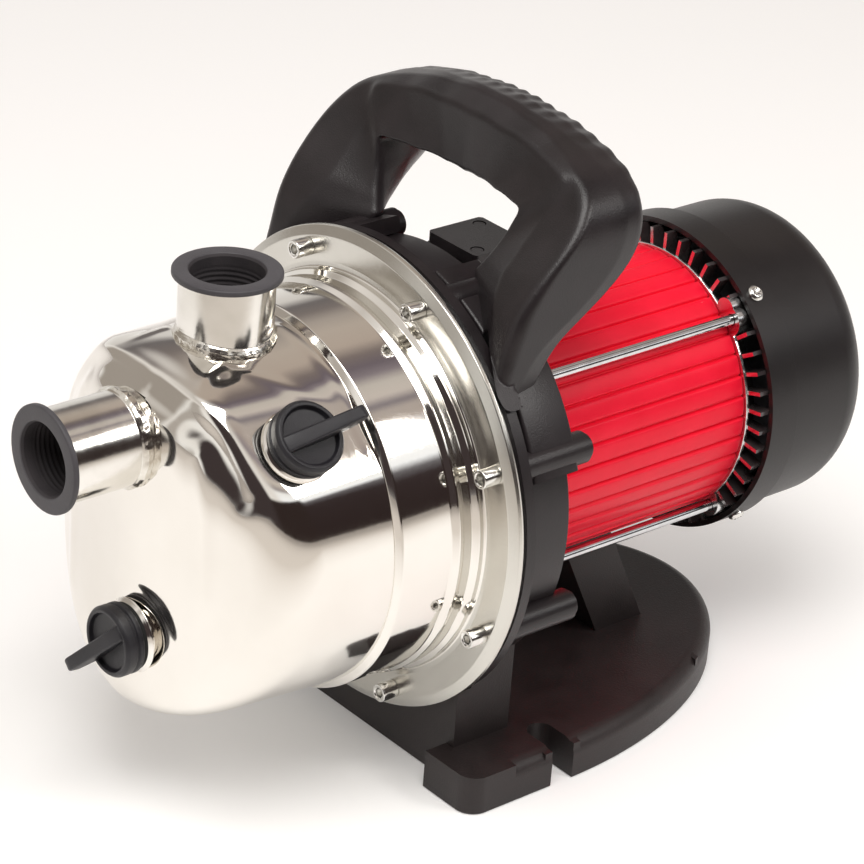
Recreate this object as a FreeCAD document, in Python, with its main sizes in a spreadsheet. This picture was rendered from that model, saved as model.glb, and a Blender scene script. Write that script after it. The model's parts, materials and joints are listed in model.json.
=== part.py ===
import FreeCAD, Part
import math
import os
import re
import Sketcher

# A self-priming jet pump: stainless casing, plastic motor bracket on a D-shaped foot,
# carrying handle, finned motor and fan cover.
#
# Frame of the finished part: X along the shaft toward the motor, Z up, Y = 0 on the shaft.
# Z = 0 is the underside of the foot, X = 0 the centre of the two mounting slots.
# Every shape is drawn about the shaft axis, with x measured from the rim plane of the
# casing flange, and is then placed with slot_x and shaft_height.

DIMENSIONS = {
    # placing
    "shaft_height": 125.0,
    "slot_x": 46.5,
    # casing
    "sheet": 2.0,
    "flange_r": 107.75,
    "lip_r": 103.5,
    "lip_rise": 3.0,
    "root_r": 88.5,
    "step_x": -13.0,
    "drum_r": 86.0,
    "drum_x": -43.0,
    "pot_r": 83.0,
    "pot_front_x": -125.0,
    "front_half_width": 34.0,
    "cheek_run": 28.0,
    "cheek_half_width": 83.0,
    "panel_distance": 79.0,
    "pad_height": 83.5,
    "pad_r": 25.0,
    "shoulder_x": -46.0,
    "shoulder_bore_r": 74.0,
    "front_fillet": 11.0,
    # ports
    "port_z": 48.7,
    "inlet_face_x": -162.85,
    "outlet_x": -74.6,
    "outlet_face_z": 111.4,
    "socket_r": 20.0,
    "socket_bore_r": 18.0,
    "collar_r": 22.5,
    "collar_height": 4.5,
    "insert_flange_r": 23.0,
    "insert_flange": 2.5,
    "insert_r": 17.7,
    "insert_bore_r": 15.15,
    "insert_length": 24.0,
    # screw plugs
    "plug_boss_r": 17.0,
    "plug_boss_bore_r": 10.4,
    "plug_neck_r": 13.0,
    "fill_x": -80.0,
    "fill_boss_rise": 3.5,
    "drain_y": -11.0,
    "drain_z": -38.0,
    "drain_boss_rise": 1.5,
    "plug_cap_r": 15.5,
    "plug_cap": 8.5,
    "plug_stem_r": 10.0,
    "plug_stem": 12.0,
    "plug_wing_reach": 24.5,
    "plug_wing_thickness": 5.0,
    "plug_wing_height": 9.0,
    "gasket_r": 14.5,
    "gasket_bore_r": 10.4,
    "gasket": 2.0,
    # flange screws
    "screw_count": 8,
    "screw_circle_r": 98.5,
    "screw_shank_r": 2.5,
    "screw_hole_r": 2.8,
    "screw_head_r": 3.7,
    "screw_head": 11.0,
    "screw_socket": 2.3,
    "screw_end_x": 40.0,
    # seal plate and its O-ring
    "plate_r": 103.2,
    "plate_front_x": -1.0,
    "plate_rear_x": 5.0,
    "seal_hub_r": 24.0,
    "seal_hub_x": 13.0,
    "ring_groove_inner_r": 90.0,
    "ring_groove_outer_r": 93.2,
    "ring_groove_depth": 2.6,
    # motor bracket
    "bracket_flange_r": 106.0,
    "bracket_flange_x": 10.0,
    "bracket_r": 96.0,
    "bracket_inner_r": 89.0,
    "bracket_rear_x": 38.3,
    "boss_r": 7.0,
    "boss_end_x": 46.5,
    "web_front_x": 27.0,
    "web_rear_x": 33.0,
    "web_bore_r": 30.0,
    # foot
    "foot_thickness": 18.0,
    "foot_wall": 4.0,
    "foot_front_x": 5.0,
    "foot_half_width": 97.0,
    "foot_straight_x": 50.0,
    "foot_rear_x": 203.0,
    "foot_edge_fillet": 7.0,
    "block_front_x": -6.5,
    "block_inner_y": 66.0,
    "slot_r": 6.2,
    "slot_depth": 22.0,
    "pedestal_half_width": 71.0,
    "pedestal_rear_x": 36.0,
    "block_corner_r": 9.0,
    "post_top_x": 95.0,
    "post_base_x": 126.0,
    "post_length": 28.5,
    "post_half_width": 30.0,
    # handle
    "handle_centre_z": 100.0,
    "saddle_gap": 0.4,
    "saddle_r": 104.0,
    "saddle_front_x": 12.8,
    "saddle_rear_x": 37.5,
    # motor
    "housing_front_x": 44.0,
    "housing_rear_x": 173.3,
    "housing_root_r": 60.6,
    "housing_fin_r": 62.9,
    "housing_bore_r": 56.0,
    "housing_fins": 40,
    "stator_r": 55.95,
    "stator_bore_r": 31.0,
    "stator_front_x": 82.0,
    "stator_rear_x": 142.0,
    "stator_slots": 24,
    "rotor_r": 30.5,
    "rod_circle_r": 66.3,
    "rod_r": 2.5,
    "rod_head_r": 4.4,
    "shield_front_x": 33.0,
    "shield_face_x": 44.0,
    "bearing_outer_r": 17.5,
    "bearing_bore_r": 7.5,
    "bearing_width": 11.0,
    "front_bearing_x": 36.0,
    "rear_bearing_x": 173.0,
    "rear_shield_rear_x": 187.0,
    "rear_fins": 48,
    # shaft and hydraulics
    "shaft_r": 7.5,
    "pump_shaft_r": 6.0,
    "shaft_front_x": -42.0,
    "shaft_rear_x": 222.0,
    "impeller_r": 60.0,
    "impeller_rear_x": -14.0,
    "impeller_front_x": -27.0,
    "impeller_eye_r": 18.0,
    "impeller_vanes": 6,
    "diffuser_r": 76.0,
    "diffuser_front_x": -33.0,
    "diffuser_vanes": 8,
    "venturi_r": 17.0,
    "venturi_front_x": -81.0,
    "nozzle_front_x": -95.5,
    # fan and its cover
    "fan_r": 60.0,
    "fan_front_x": 200.0,
    "fan_rear_x": 220.0,
    "fan_blades": 11,
    "cover_mouth_x": 179.2,
    "cover_mouth_r": 74.4,
    "cover_step_x": 197.8,
    "cover_r": 71.2,
    "cover_rear_x": 249.0,
    "cover_corner": 18.0,
    "cover_wall": 2.5,
    "cover_screw_x": 186.0,
    # terminal box
    "box_front_x": 45.5,
    "box_rear_x": 74.5,
    "box_half_width": 15.5,
    "box_rim_z": 90.5,
    "box_top_z": 95.5,
    "box_wall": 2.0,
}

doc = FreeCAD.newDocument("WaterPump")
sheet = doc.addObject("Spreadsheet::Sheet", "Dim")
for row, (alias, value) in enumerate(DIMENSIONS.items(), start=1):
    sheet.set(f"A{row}", alias)
    sheet.set(f"B{row}", str(value))
    sheet.setAlias(f"B{row}", alias)
doc.recompute()

sub_parts = []


# ------------------------------------------------------------------ helpers
def linked(expression):
    """Point every dimension name in an expression at the sheet."""
    def link(match):
        word = match.group()
        return "Dim." + word if word in DIMENSIONS else word
    return re.sub(r"[a-z][a-z_]*", link, str(expression))


def number(expression):
    return float(sheet.evalExpression(str(expression)))


def bind(obj, prop, expression):
    obj.setExpression(prop, linked(expression))


def seat(obj):
    """Carry a shape drawn about the shaft to its place above the foot."""
    bind(obj, "Placement.Base.x", "-slot_x")
    bind(obj, "Placement.Base.z", "shaft_height")


def deliver(obj, label):
    obj.Label = label
    seat(obj)
    sub_parts.append(obj)
    return obj


def new_body(label):
    return deliver(doc.addObject("PartDesign::Body", label), label)


def origin_feature(body, role):
    return next(item for item in body.Origin.OriginFeatures if item.Role == role)


def new_sketch(body, name, role, offset="0"):
    sketch = body.newObject("Sketcher::SketchObject", name)
    sketch.AttachmentSupport = [(origin_feature(body, role), "")]
    sketch.MapMode = "FlatFace"
    bind(sketch, "AttachmentOffset.Base.z", offset)
    return sketch


def pin_point(sketch, geometry, position, x, y):
    for kind, expression in (("DistanceX", x), ("DistanceY", y)):
        rule = Sketcher.Constraint(kind, -1, 1, geometry, position, number(expression))
        index = sketch.addConstraint(rule)
        bind(sketch, f"Constraints[{index}]", expression)


def draw_polygon(sketch, points):
    corners = [FreeCAD.Vector(number(x), number(y), 0) for x, y in points]
    first = sketch.GeometryCount
    total = len(points)
    for index in range(total):
        sketch.addGeometry(Part.LineSegment(corners[index], corners[(index + 1) % total]))
    for index in range(total):
        follower = first + (index + 1) % total
        sketch.addConstraint(Sketcher.Constraint("Coincident", first + index, 2, follower, 1))
    for index, (x, y) in enumerate(points):
        pin_point(sketch, first + index, 1, x, y)


def draw_circle(sketch, x, y, radius):
    centre = FreeCAD.Vector(number(x), number(y), 0)
    circle = Part.Circle(centre, FreeCAD.Vector(0, 0, 1), number(radius))
    index = sketch.addGeometry(circle)
    rule = sketch.addConstraint(Sketcher.Constraint("Radius", index, number(radius)))
    bind(sketch, f"Constraints[{rule}]", radius)
    pin_point(sketch, index, 3, x, y)


def revolve(body, name, points, kind="Revolution"):
    """Turn an (x, radius) outline about the shaft axis; kind Groove removes it."""
    sketch = new_sketch(body, name + "_outline", "XZ_Plane")
    draw_polygon(sketch, points)
    feature = body.newObject("PartDesign::" + kind, name)
    feature.Profile = sketch
    feature.ReferenceAxis = (sketch, ["H_Axis"])
    feature.Angle = 360
    body.Tip = feature
    doc.recompute()
    return feature


def extrude(body, name, sketch, length, kind="Pad", backward=False):
    feature = body.newObject("PartDesign::" + kind, name)
    feature.Profile = sketch
    feature.Type = 0
    bind(feature, "Length", length)
    feature.Reversed = backward
    body.Tip = feature
    doc.recompute()
    return feature


def drill(body, name, circles, x_start, length):
    """Cut round holes along the shaft direction, from x_start toward the motor."""
    sketch = new_sketch(body, name + "_outline", "YZ_Plane", x_start)
    for y, z, radius in circles:
        draw_circle(sketch, y, z, radius)
    return extrude(body, name, sketch, length, "Pocket", backward=True)


def repeat_round(body, name, feature, count):
    pattern = body.newObject("PartDesign::PolarPattern", name)
    pattern.Originals = [feature]
    pattern.Axis = (origin_feature(body, "X_Axis"), [""])
    pattern.Angle = 360
    bind(pattern, "Occurrences", count)
    body.Tip = pattern
    doc.recompute()
    return pattern


def cylinder(name, radius, length, x="0", y="0", z="0", axis="X"):
    shape = doc.addObject("Part::Cylinder", name)
    bind(shape, "Radius", radius)
    bind(shape, "Height", length)
    turn = {"X": (0, 1, 0, 90), "Y": (1, 0, 0, -90), "Z": (0, 0, 1, 0)}[axis]
    shape.Placement.Rotation = FreeCAD.Rotation(FreeCAD.Vector(*turn[:3]), turn[3])
    put(shape, x, y, z)
    return shape


def box(name, x, y, z, length, width, height):
    shape = doc.addObject("Part::Box", name)
    bind(shape, "Length", length)
    bind(shape, "Width", width)
    bind(shape, "Height", height)
    put(shape, x, y, z)
    return shape


def put(obj, x, y, z):
    bind(obj, "Placement.Base.x", x)
    bind(obj, "Placement.Base.y", y)
    bind(obj, "Placement.Base.z", z)


def carry(obj, x, y, z):
    """Place an object drawn in a local frame at a point given about the shaft."""
    put(obj, f"{x} - slot_x", y, f"{z} + shaft_height")


def join(name, shapes):
    if len(shapes) == 1:
        return shapes[0]
    result = doc.addObject("Part::MultiFuse", name)
    result.Shapes = shapes
    result.Refine = True
    return result


def overlap(name, shapes):
    result = doc.addObject("Part::MultiCommon", name)
    result.Shapes = shapes
    return result


def remove(name, base, tools):
    result = doc.addObject("Part::Cut", name)
    result.Base = base
    result.Tool = join(name + "_tools", tools)
    result.Refine = True
    return result


def group(name, shapes):
    result = doc.addObject("Part::Compound", name)
    result.Links = shapes
    return result


def round_edges(name, base, radius, wanted):
    """Fillet the edges of base for which wanted(edge) holds."""
    doc.recompute()
    result = doc.addObject("Part::Fillet", name)
    result.Base = base
    size = number(radius)
    result.Edges = [
        (index, size, size)
        for index, edge in enumerate(base.Shape.Edges, start=1)
        if wanted(edge)
    ]
    doc.recompute()
    return result


def polar(radius, angle):
    """Expressions for y and z at an angle from +Y toward +Z."""
    return f"({radius}) * cos({angle})", f"({radius}) * sin({angle})"


def turned(obj, axis, angle):
    obj.Placement.Rotation = FreeCAD.Rotation(FreeCAD.Vector(*axis), angle)
    return obj


def prism(name, plane, points, start, length):
    """Extrude a closed outline: plane XY rises along Z, YZ runs along X, XZ along Y."""
    turns = {"XY": (0, 0, 1, 0), "YZ": (1, 1, 1, 120), "XZ": (1, 0, 0, 90)}
    along = {"XY": (0, 0, 1), "YZ": (1, 0, 0), "XZ": (0, 1, 0)}[plane]
    turn = turns[plane]
    outline = doc.addObject("Sketcher::SketchObject", name + "_outline")
    turned(outline, turn[:3], turn[3])
    draw_polygon(outline, points)
    put(outline, *[start if step else "0" for step in along])
    result = doc.addObject("Part::Extrusion", name)
    result.Base = outline
    result.DirMode = "Custom"
    result.Dir = FreeCAD.Vector(*along)
    result.Solid = True
    bind(result, "LengthFwd", length)
    return result


def lathe(name, points):
    """A loose solid of revolution about the shaft axis from an (x, radius) outline."""
    outline = doc.addObject("Sketcher::SketchObject", name + "_outline")
    turned(outline, (1, 0, 0), 90)
    draw_polygon(outline, points)
    result = doc.addObject("Part::Revolution", name)
    result.Source = outline
    result.Axis = FreeCAD.Vector(1, 0, 0)
    result.Base = FreeCAD.Vector(0, 0, 0)
    result.Angle = 360
    result.Solid = True
    return result


def sector(name, radius, length, x, start, sweep):
    """A pie slice about the shaft axis, angles measured from +Y toward +Z."""
    shape = cylinder(name, radius, length, x)
    shape.Angle = sweep
    first = math.radians(start)
    shape.Placement.Rotation = FreeCAD.Rotation(
        FreeCAD.Vector(0, math.cos(first), math.sin(first)),
        FreeCAD.Vector(0, -math.sin(first), math.cos(first)),
        FreeCAD.Vector(1, 0, 0),
        "XYZ",
    )
    return shape


def fillet(body, name, radius, wanted):
    """Fillet the body's present edges for which wanted(edge) holds."""
    base = body.Tip
    feature = body.newObject("PartDesign::Fillet", name)
    names = [
        f"Edge{index}"
        for index, edge in enumerate(base.Shape.Edges, start=1)
        if wanted(edge)
    ]
    feature.Base = (base, names)
    bind(feature, "Radius", radius)
    body.Tip = feature
    doc.recompute()
    return feature


def ring_at(x, radius):
    """Pick the full circle of one radius about the shaft axis at one x."""
    def wanted(edge):
        if not isinstance(edge.Curve, Part.Circle):
            return False
        centre = edge.Curve.Center
        on_axis = math.hypot(centre.y, centre.z) < 0.01
        return on_axis and abs(centre.x - x) < 0.01 and abs(edge.Curve.Radius - radius) < 0.01
    return wanted


def ring_spots(radius, angles):
    return [polar(radius, angle) for angle in angles]


QUARTERS = [45, 135, 225, 315]
SCREW_ANGLES = [22.5 + 45 * index for index in range(8)]
COVER_ANGLES = [50, 130, 225, 315]


# ------------------------------------------------------------------ pump casing
def pot(name, inset):
    """The drawn front of the casing; inset shrinks it by the sheet thickness."""
    front = f"pot_front_x + {inset}"
    edge = f"front_half_width - {inset} / 2"
    cheek = f"cheek_half_width - {inset}"
    roof = f"(panel_distance - {inset}) * sqrt(2)"
    rear = f"shoulder_x + {inset}"
    drum = cylinder(name + "_drum", f"pot_r - {inset}", f"{rear} - ({front})", front)
    plan = prism(name + "_plan", "XY", [
        (front, edge),
        (f"{front} + cheek_run", cheek),
        (f"{front} + cheek_run + 10", "pot_r + 5"),
        ("-20", "pot_r + 5"),
        ("-20", "-pot_r - 5"),
        (f"{front} + cheek_run + 10", "-pot_r - 5"),
        (f"{front} + cheek_run", f"-({cheek})"),
        (front, f"-({edge})"),
    ], "-pot_r - 5", "2 * pot_r + 10")
    panels = prism(name + "_panels", "YZ", [
        ("-150", "-150"),
        ("150", "-150"),
        ("150", f"{roof} - 150"),
        ("0", roof),
        ("-150", f"{roof} - 150"),
    ], "-150", "140")
    block = overlap(name + "_block", [drum, plan, panels])
    front_x = number(front)

    def drawn_edge(edge):
        bounds = edge.BoundBox
        return bounds.XMin < front_x + 26 and bounds.XMax < front_x + 30
    return round_edges(name, block, f"front_fillet - {inset}", drawn_edge)


def fill_direction():
    """Rotation whose X axis points out of the near upper panel of the casing."""
    out = FreeCAD.Vector(0, -math.sqrt(0.5), math.sqrt(0.5))
    along = FreeCAD.Vector(1, 0, 0)
    return FreeCAD.Rotation(out, along, out.cross(along), "XYZ")


def drain_direction():
    """Rotation whose X axis points forward out of the casing's front face."""
    out = FreeCAD.Vector(-1, 0, 0)
    along = FreeCAD.Vector(0, math.sqrt(0.5), -math.sqrt(0.5))
    return FreeCAD.Rotation(out, along, out.cross(along), "XYZ")


FILL_SPOT = ("fill_x", "-panel_distance * sqrt(0.5)", "panel_distance * sqrt(0.5)")
DRAIN_SPOT = ("pot_front_x", "drain_y", "drain_z")

pot_outside = pot("pot_outside", "0")
pot_inside = pot("pot_inside", "sheet")
drum_shell = lathe("drum_shell", [
    ("shoulder_x", "shoulder_bore_r"),
    ("shoulder_x", "pot_r"),
    ("drum_x", "drum_r"),
    ("step_x - 1", "drum_r"),
    ("step_x + 1", "root_r"),
    ("-lip_rise", "root_r"),
    ("-lip_rise", "lip_r"),
    ("0", "flange_r"),
    ("sheet", "flange_r"),
    ("sheet - lip_rise", "lip_r"),
    ("sheet - lip_rise", "root_r - sheet"),
    ("step_x + 2", "root_r - sheet"),
    ("step_x", "drum_r - sheet"),
    ("drum_x + 1", "drum_r - sheet"),
    ("shoulder_x + sheet", "shoulder_bore_r"),
])
pad = cylinder("outlet_pad", "pad_r", "pad_height - 60", "outlet_x", "0", "60", "Z")
inlet_hole = cylinder("inlet_hole", "socket_r + 0.3", "30", "pot_front_x - 10", "0", "port_z")
outlet_hole = cylinder("outlet_hole", "socket_r + 0.3", "40", "outlet_x", "0", "60", "Z")
fill_hole = cylinder("fill_hole", "plug_neck_r + 0.3", "30")
fill_hole.Placement.Rotation = fill_direction().multiply(
    FreeCAD.Rotation(FreeCAD.Vector(0, 1, 0), 90))
put(fill_hole, "fill_x", "-(panel_distance - 15) * sqrt(0.5)",
    "(panel_distance - 15) * sqrt(0.5)")
drain_hole = cylinder("drain_hole", "plug_neck_r + 0.3", "30",
                      "pot_front_x - 10", "drain_y", "drain_z")
flange_holes = [
    cylinder(f"flange_hole_{index}", "screw_hole_r", "20", "-10", *spot)
    for index, spot in enumerate(ring_spots("screw_circle_r", SCREW_ANGLES))
]
casing_skin = join("casing_skin", [pot_outside, drum_shell, pad])
deliver(
    remove("casing", casing_skin,
           [pot_inside, inlet_hole, outlet_hole, fill_hole, drain_hole] + flange_holes),
    "pump_casing")


# ------------------------------------------------------------------ ports
def port_parts(name, axis_turn, spot, face, root):
    """A welded socket and its threaded insert, drawn along local X, mouth at x = 0."""
    reach = f"{face} - insert_flange"
    socket = new_body(name + "_socket")
    revolve(socket, name + "_tube", [
        ("insert_flange", "socket_bore_r"),
        ("insert_flange", "socket_r"),
        (f"{reach} - collar_height + insert_flange", "socket_r"),
        (f"{reach} - collar_height / 2 + insert_flange", "collar_r"),
        (f"{reach} + insert_flange - 0.05", "collar_r"),
        (f"{reach} + insert_flange - 0.05", "socket_r"),
        (f"{face} + {root}", "socket_r"),
        (f"{face} + {root}", "socket_bore_r"),
    ])
    insert = new_body(name + "_insert")
    revolve(insert, name + "_sleeve", [
        ("0", "insert_bore_r"),
        ("0", "insert_flange_r - 0.6"),
        ("0.6", "insert_flange_r"),
        ("insert_flange", "insert_flange_r"),
        ("insert_flange", "insert_r"),
        ("insert_length", "insert_r"),
        ("insert_length", "insert_bore_r"),
    ])
    for body in (socket, insert):
        if axis_turn:
            turned(body, *axis_turn)
        carry(body, *spot)


port_parts("inlet", None, ("inlet_face_x", "0", "port_z"),
           "(pot_front_x - inlet_face_x)", "6")
port_parts("outlet", ((0, 1, 0), 90), ("outlet_x", "0", "outlet_face_z"),
           "(outlet_face_z - pad_height)", "6")


# ------------------------------------------------------------------ screw plugs
def plug_parts(name, spot, rotation, rise, wing_turn):
    """Welded boss, gasket and winged plug, drawn along local X out of the casing."""
    boss = new_body(name + "_boss")
    revolve(boss, name + "_ring", [
        ("-plug_stem + 3", "plug_boss_bore_r"),
        ("-plug_stem + 3", "plug_neck_r"),
        ("0.05", "plug_neck_r"),
        ("0.05", "plug_boss_r"),
        (f"{rise} - 0.8", "plug_boss_r"),
        (rise, "plug_boss_r - 0.8"),
        (rise, "plug_boss_bore_r"),
    ])
    gasket = new_body(name + "_plug_gasket")
    revolve(gasket, name + "_washer", [
        (rise, "gasket_bore_r"),
        (rise, "gasket_r"),
        (f"{rise} + gasket", "gasket_r"),
        (f"{rise} + gasket", "gasket_bore_r"),
    ])
    plug = new_body(name + "_plug")
    under = f"{rise} + gasket"
    top = f"{under} + plug_cap"
    revolve(plug, name + "_cap", [
        (f"{rise} - plug_stem + 2", "0"),
        (f"{rise} - plug_stem + 2", "plug_stem_r - 1"),
        (f"{rise} - plug_stem + 3", "plug_stem_r"),
        (under, "plug_stem_r"),
        (under, "plug_cap_r"),
        (f"{under} + 2.2", "plug_cap_r"),
        (f"{under} + 2.6", "plug_cap_r - 0.7"),
        (f"{under} + 3.2", "plug_cap_r - 0.7"),
        (f"{under} + 3.6", "plug_cap_r"),
        (f"{top} - 1", "plug_cap_r"),
        (top, "plug_cap_r - 1"),
        (top, "0"),
    ])
    wing = new_sketch(plug, name + "_wing_outline", "XY_Plane", "-plug_wing_thickness / 2")
    draw_polygon(wing, [
        (f"{top} - 1", "-plug_cap_r + 2"),
        (f"{top} + 1.5", "-plug_cap_r + 1"),
        (f"{top} + plug_wing_height", "plug_wing_reach - 3"),
        (f"{top} + plug_wing_height - 1", "plug_wing_reach"),
        (f"{top} + plug_wing_height - 6", "plug_wing_reach"),
        (f"{top} - 1", "plug_cap_r - 2"),
    ])
    extrude(plug, name + "_wing", wing, "plug_wing_thickness")
    turn = FreeCAD.Rotation(FreeCAD.Vector(1, 0, 0), wing_turn)
    for body in (boss, gasket, plug):
        body.Placement.Rotation = rotation.multiply(turn)
        carry(body, *spot)


plug_parts("fill", FILL_SPOT, fill_direction(), "fill_boss_rise", 4)
plug_parts("drain", DRAIN_SPOT, drain_direction(), "drain_boss_rise", 0)


# ------------------------------------------------------------------ jet and hydraulics
suction_shell = join("suction_shell", [
    cylinder("suction_mouth", "17.5", "24", "pot_front_x + 6.2", "0", "port_z"),
    cylinder("suction_drop", "13", "port_z + 14", "-105.5", "0", "-14", "Z"),
    cylinder("suction_seat", "14", "nozzle_front_x + 2.5 + 112", "-112"),
])
suction_bores = [
    cylinder("suction_mouth_bore", "14.5", "21", "pot_front_x + 5", "0", "port_z"),
    cylinder("suction_drop_bore", "10", "port_z + 8", "-105.5", "0", "-11", "Z"),
    cylinder("suction_seat_bore", "8.2", "30", "-106"),
]
deliver(remove("suction", suction_shell, suction_bores), "suction_body")

nozzle = new_body("jet_nozzle")
revolve(nozzle, "nozzle_cone", [
    ("nozzle_front_x + 3.1", "8"),
    ("nozzle_front_x + 3.1", "12"),
    ("nozzle_front_x + 6", "12"),
    ("nozzle_front_x + 16", "6.5"),
    ("nozzle_front_x + 16", "4.5"),
])

venturi = new_body("venturi_tube")
revolve(venturi, "venturi_wall", [
    ("venturi_front_x", "10"),
    ("venturi_front_x", "12.5"),
    ("venturi_front_x + 14", "10"),
    ("diffuser_front_x - 14", "venturi_r"),
    ("diffuser_front_x - 14", "20.2"),
    ("diffuser_front_x - 3.5", "20.2"),
    ("diffuser_front_x - 3.5", "15"),
    ("venturi_front_x + 16", "6.5"),
])

diffuser = new_body("diffuser")
revolve(diffuser, "diffuser_wall", [
    ("diffuser_front_x - 12", "20.6"),
    ("diffuser_front_x - 12", "24"),
    ("diffuser_front_x - 3", "24"),
    ("diffuser_front_x - 3", "diffuser_r - 6"),
    ("diffuser_front_x + 3", "diffuser_r"),
    ("plate_front_x - 0.3", "diffuser_r"),
    ("plate_front_x - 0.3", "diffuser_r - 3"),
    ("diffuser_front_x + 4", "diffuser_r - 3"),
    ("diffuser_front_x", "diffuser_r - 8"),
    ("diffuser_front_x", "20.6"),
])


def blade(radii, start_angle, sweep, thickness_angle):
    """Outline of a curved blade in the YZ plane, swept evenly with radius."""
    steps = len(radii) - 1
    leading = [
        polar(radius, start_angle + sweep * index / steps)
        for index, radius in enumerate(radii)
    ]
    trailing = [
        polar(radius, start_angle + thickness_angle + sweep * index / steps)
        for index, radius in enumerate(radii)
    ]
    return leading + trailing[::-1]


guide = new_sketch(diffuser, "guide_outline", "YZ_Plane", "diffuser_front_x - 0.5")
draw_polygon(guide, blade([62, 66, 70, 74], 0, 26, 3))
guide_vane = extrude(diffuser, "guide_vane", guide, "18")
repeat_round(diffuser, "guide_vanes", guide_vane, "diffuser_vanes")

impeller = new_body("impeller")
revolve(impeller, "impeller_back", [
    ("impeller_front_x - 3", "pump_shaft_r + 0.03"),
    ("impeller_front_x - 3", "11"),
    ("impeller_rear_x - 5", "16"),
    ("impeller_rear_x - 2", "24"),
    ("impeller_rear_x - 2", "impeller_r"),
    ("impeller_rear_x", "impeller_r"),
    ("impeller_rear_x", "pump_shaft_r + 0.03"),
])
vane_sketch = new_sketch(impeller, "vane_outline", "YZ_Plane", "impeller_front_x")
draw_polygon(vane_sketch, blade([20, 28, 36, 44, 52, 59.5], 0, -75, 4))
vane = extrude(impeller, "vane", vane_sketch, "impeller_rear_x - impeller_front_x - 1")
repeat_round(impeller, "vanes", vane, "impeller_vanes")
revolve(impeller, "impeller_front", [
    ("impeller_front_x - 6", "impeller_eye_r"),
    ("impeller_front_x - 6", "impeller_eye_r + 1.8"),
    ("impeller_front_x - 2", "impeller_eye_r + 1.8"),
    ("impeller_front_x - 2", "impeller_r"),
    ("impeller_front_x + 0.5", "impeller_r"),
    ("impeller_front_x + 0.5", "impeller_eye_r + 1.5"),
    ("impeller_front_x - 2", "impeller_eye_r"),
])

nut_block = prism("nut_block", "YZ", [
    (f"7.2 * cos({60 * index})", f"7.2 * sin({60 * index})") for index in range(6)
], "impeller_front_x - 9.5", "6.5")
nut_bore = cylinder("nut_bore", "4.03", "20", "impeller_front_x - 15")
deliver(remove("nut", nut_block, [nut_bore]), "impeller_nut")

rotary = new_body("seal_rotary")
revolve(rotary, "rotary_outline", [
    ("impeller_rear_x + 0.1", "pump_shaft_r + 0.03"),
    ("impeller_rear_x + 0.1", "12.5"),
    ("impeller_rear_x + 2.5", "12.5"),
    ("impeller_rear_x + 2.5", "10.5"),
    ("plate_front_x - 4.5", "10.5"),
    ("plate_front_x - 4.5", "12.5"),
    ("plate_front_x - 0.15", "12.5"),
    ("plate_front_x - 0.15", "pump_shaft_r + 0.03"),
])
seat_ring = new_body("seal_seat")
revolve(seat_ring, "seat_outline", [
    ("plate_front_x", "pump_shaft_r + 0.8"),
    ("plate_front_x", "13.9"),
    ("plate_front_x + 8.9", "13.9"),
    ("plate_front_x + 8.9", "pump_shaft_r + 0.8"),
])

plate = new_body("seal_plate")
revolve(plate, "plate_outline", [
    ("plate_front_x", "14"),
    ("plate_front_x", "plate_r"),
    ("plate_rear_x", "plate_r"),
    ("plate_rear_x", "seal_hub_r + 6"),
    ("seal_hub_x", "seal_hub_r"),
    ("seal_hub_x", "8.5"),
    ("plate_front_x + 9", "8.5"),
    ("plate_front_x + 9", "14"),
])
revolve(plate, "ring_groove", [
    ("plate_front_x", "ring_groove_inner_r"),
    ("plate_front_x", "ring_groove_outer_r"),
    ("plate_front_x + ring_groove_depth", "ring_groove_outer_r"),
    ("plate_front_x + ring_groove_depth", "ring_groove_inner_r"),
], "Groove")
drill(plate, "plate_holes", [
    (*spot, "screw_hole_r") for spot in ring_spots("screw_circle_r", SCREW_ANGLES)
], "plate_front_x - 5", "20")

ring = doc.addObject("Part::Torus", "ring")
bind(ring, "Radius1", "(ring_groove_inner_r + ring_groove_outer_r) / 2")
bind(ring, "Radius2", "ring_groove_depth / 2 - 0.02")
turned(ring, (0, 1, 0), 90)
deliver(group("o_ring", [ring]), "casing_o_ring")
bind(ring, "Placement.Base.x", "plate_front_x + ring_groove_depth / 2")


# ------------------------------------------------------------------ fasteners
def socket_screw(name, x, spot):
    y, z = spot
    solid = join(name + "_solid", [
        cylinder(name + "_head", "screw_head_r", "screw_head", f"{x} - screw_head", y, z),
        cylinder(name + "_shank", "screw_shank_r", f"screw_end_x - ({x})", x, y, z),
    ])
    socket = prism(name + "_socket", "YZ", [
        (f"{y} + screw_socket * cos({60 * index})", f"{z} + screw_socket * sin({60 * index})")
        for index in range(6)
    ], f"{x} - screw_head - 1", "5")
    return remove(name, solid, [socket])


deliver(group("flange_screw_set", [
    socket_screw(f"flange_screw_{index}", "-lip_rise", spot)
    for index, spot in enumerate(ring_spots("screw_circle_r", SCREW_ANGLES))
]), "flange_screws")


def radial_screw(name, angle, x, start, length, radius, head_radius, head_start, head_length):
    """A screw whose shank points away from the shaft axis at an angle from +Y."""
    pieces = [
        cylinder(name + "_shank", radius, length),
        cylinder(name + "_head", head_radius, head_length),
    ]
    first = math.radians(angle)
    outward = FreeCAD.Vector(0, math.cos(first), math.sin(first))
    for piece, reach in zip(pieces, (start, head_start)):
        piece.Placement.Rotation = FreeCAD.Rotation(FreeCAD.Vector(0, 0, 1), outward)
        put(piece, x, *polar(reach, angle))
    return join(name, pieces)


def radial_holes(name, angles, x, start, length, radius):
    holes = []
    for angle in angles:
        hole = cylinder(f"{name}_{angle}", radius, length)
        first = math.radians(angle)
        outward = FreeCAD.Vector(0, math.cos(first), math.sin(first))
        hole.Placement.Rotation = FreeCAD.Rotation(FreeCAD.Vector(0, 0, 1), outward)
        put(hole, x, *polar(start, angle))
        holes.append(hole)
    return holes


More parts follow.
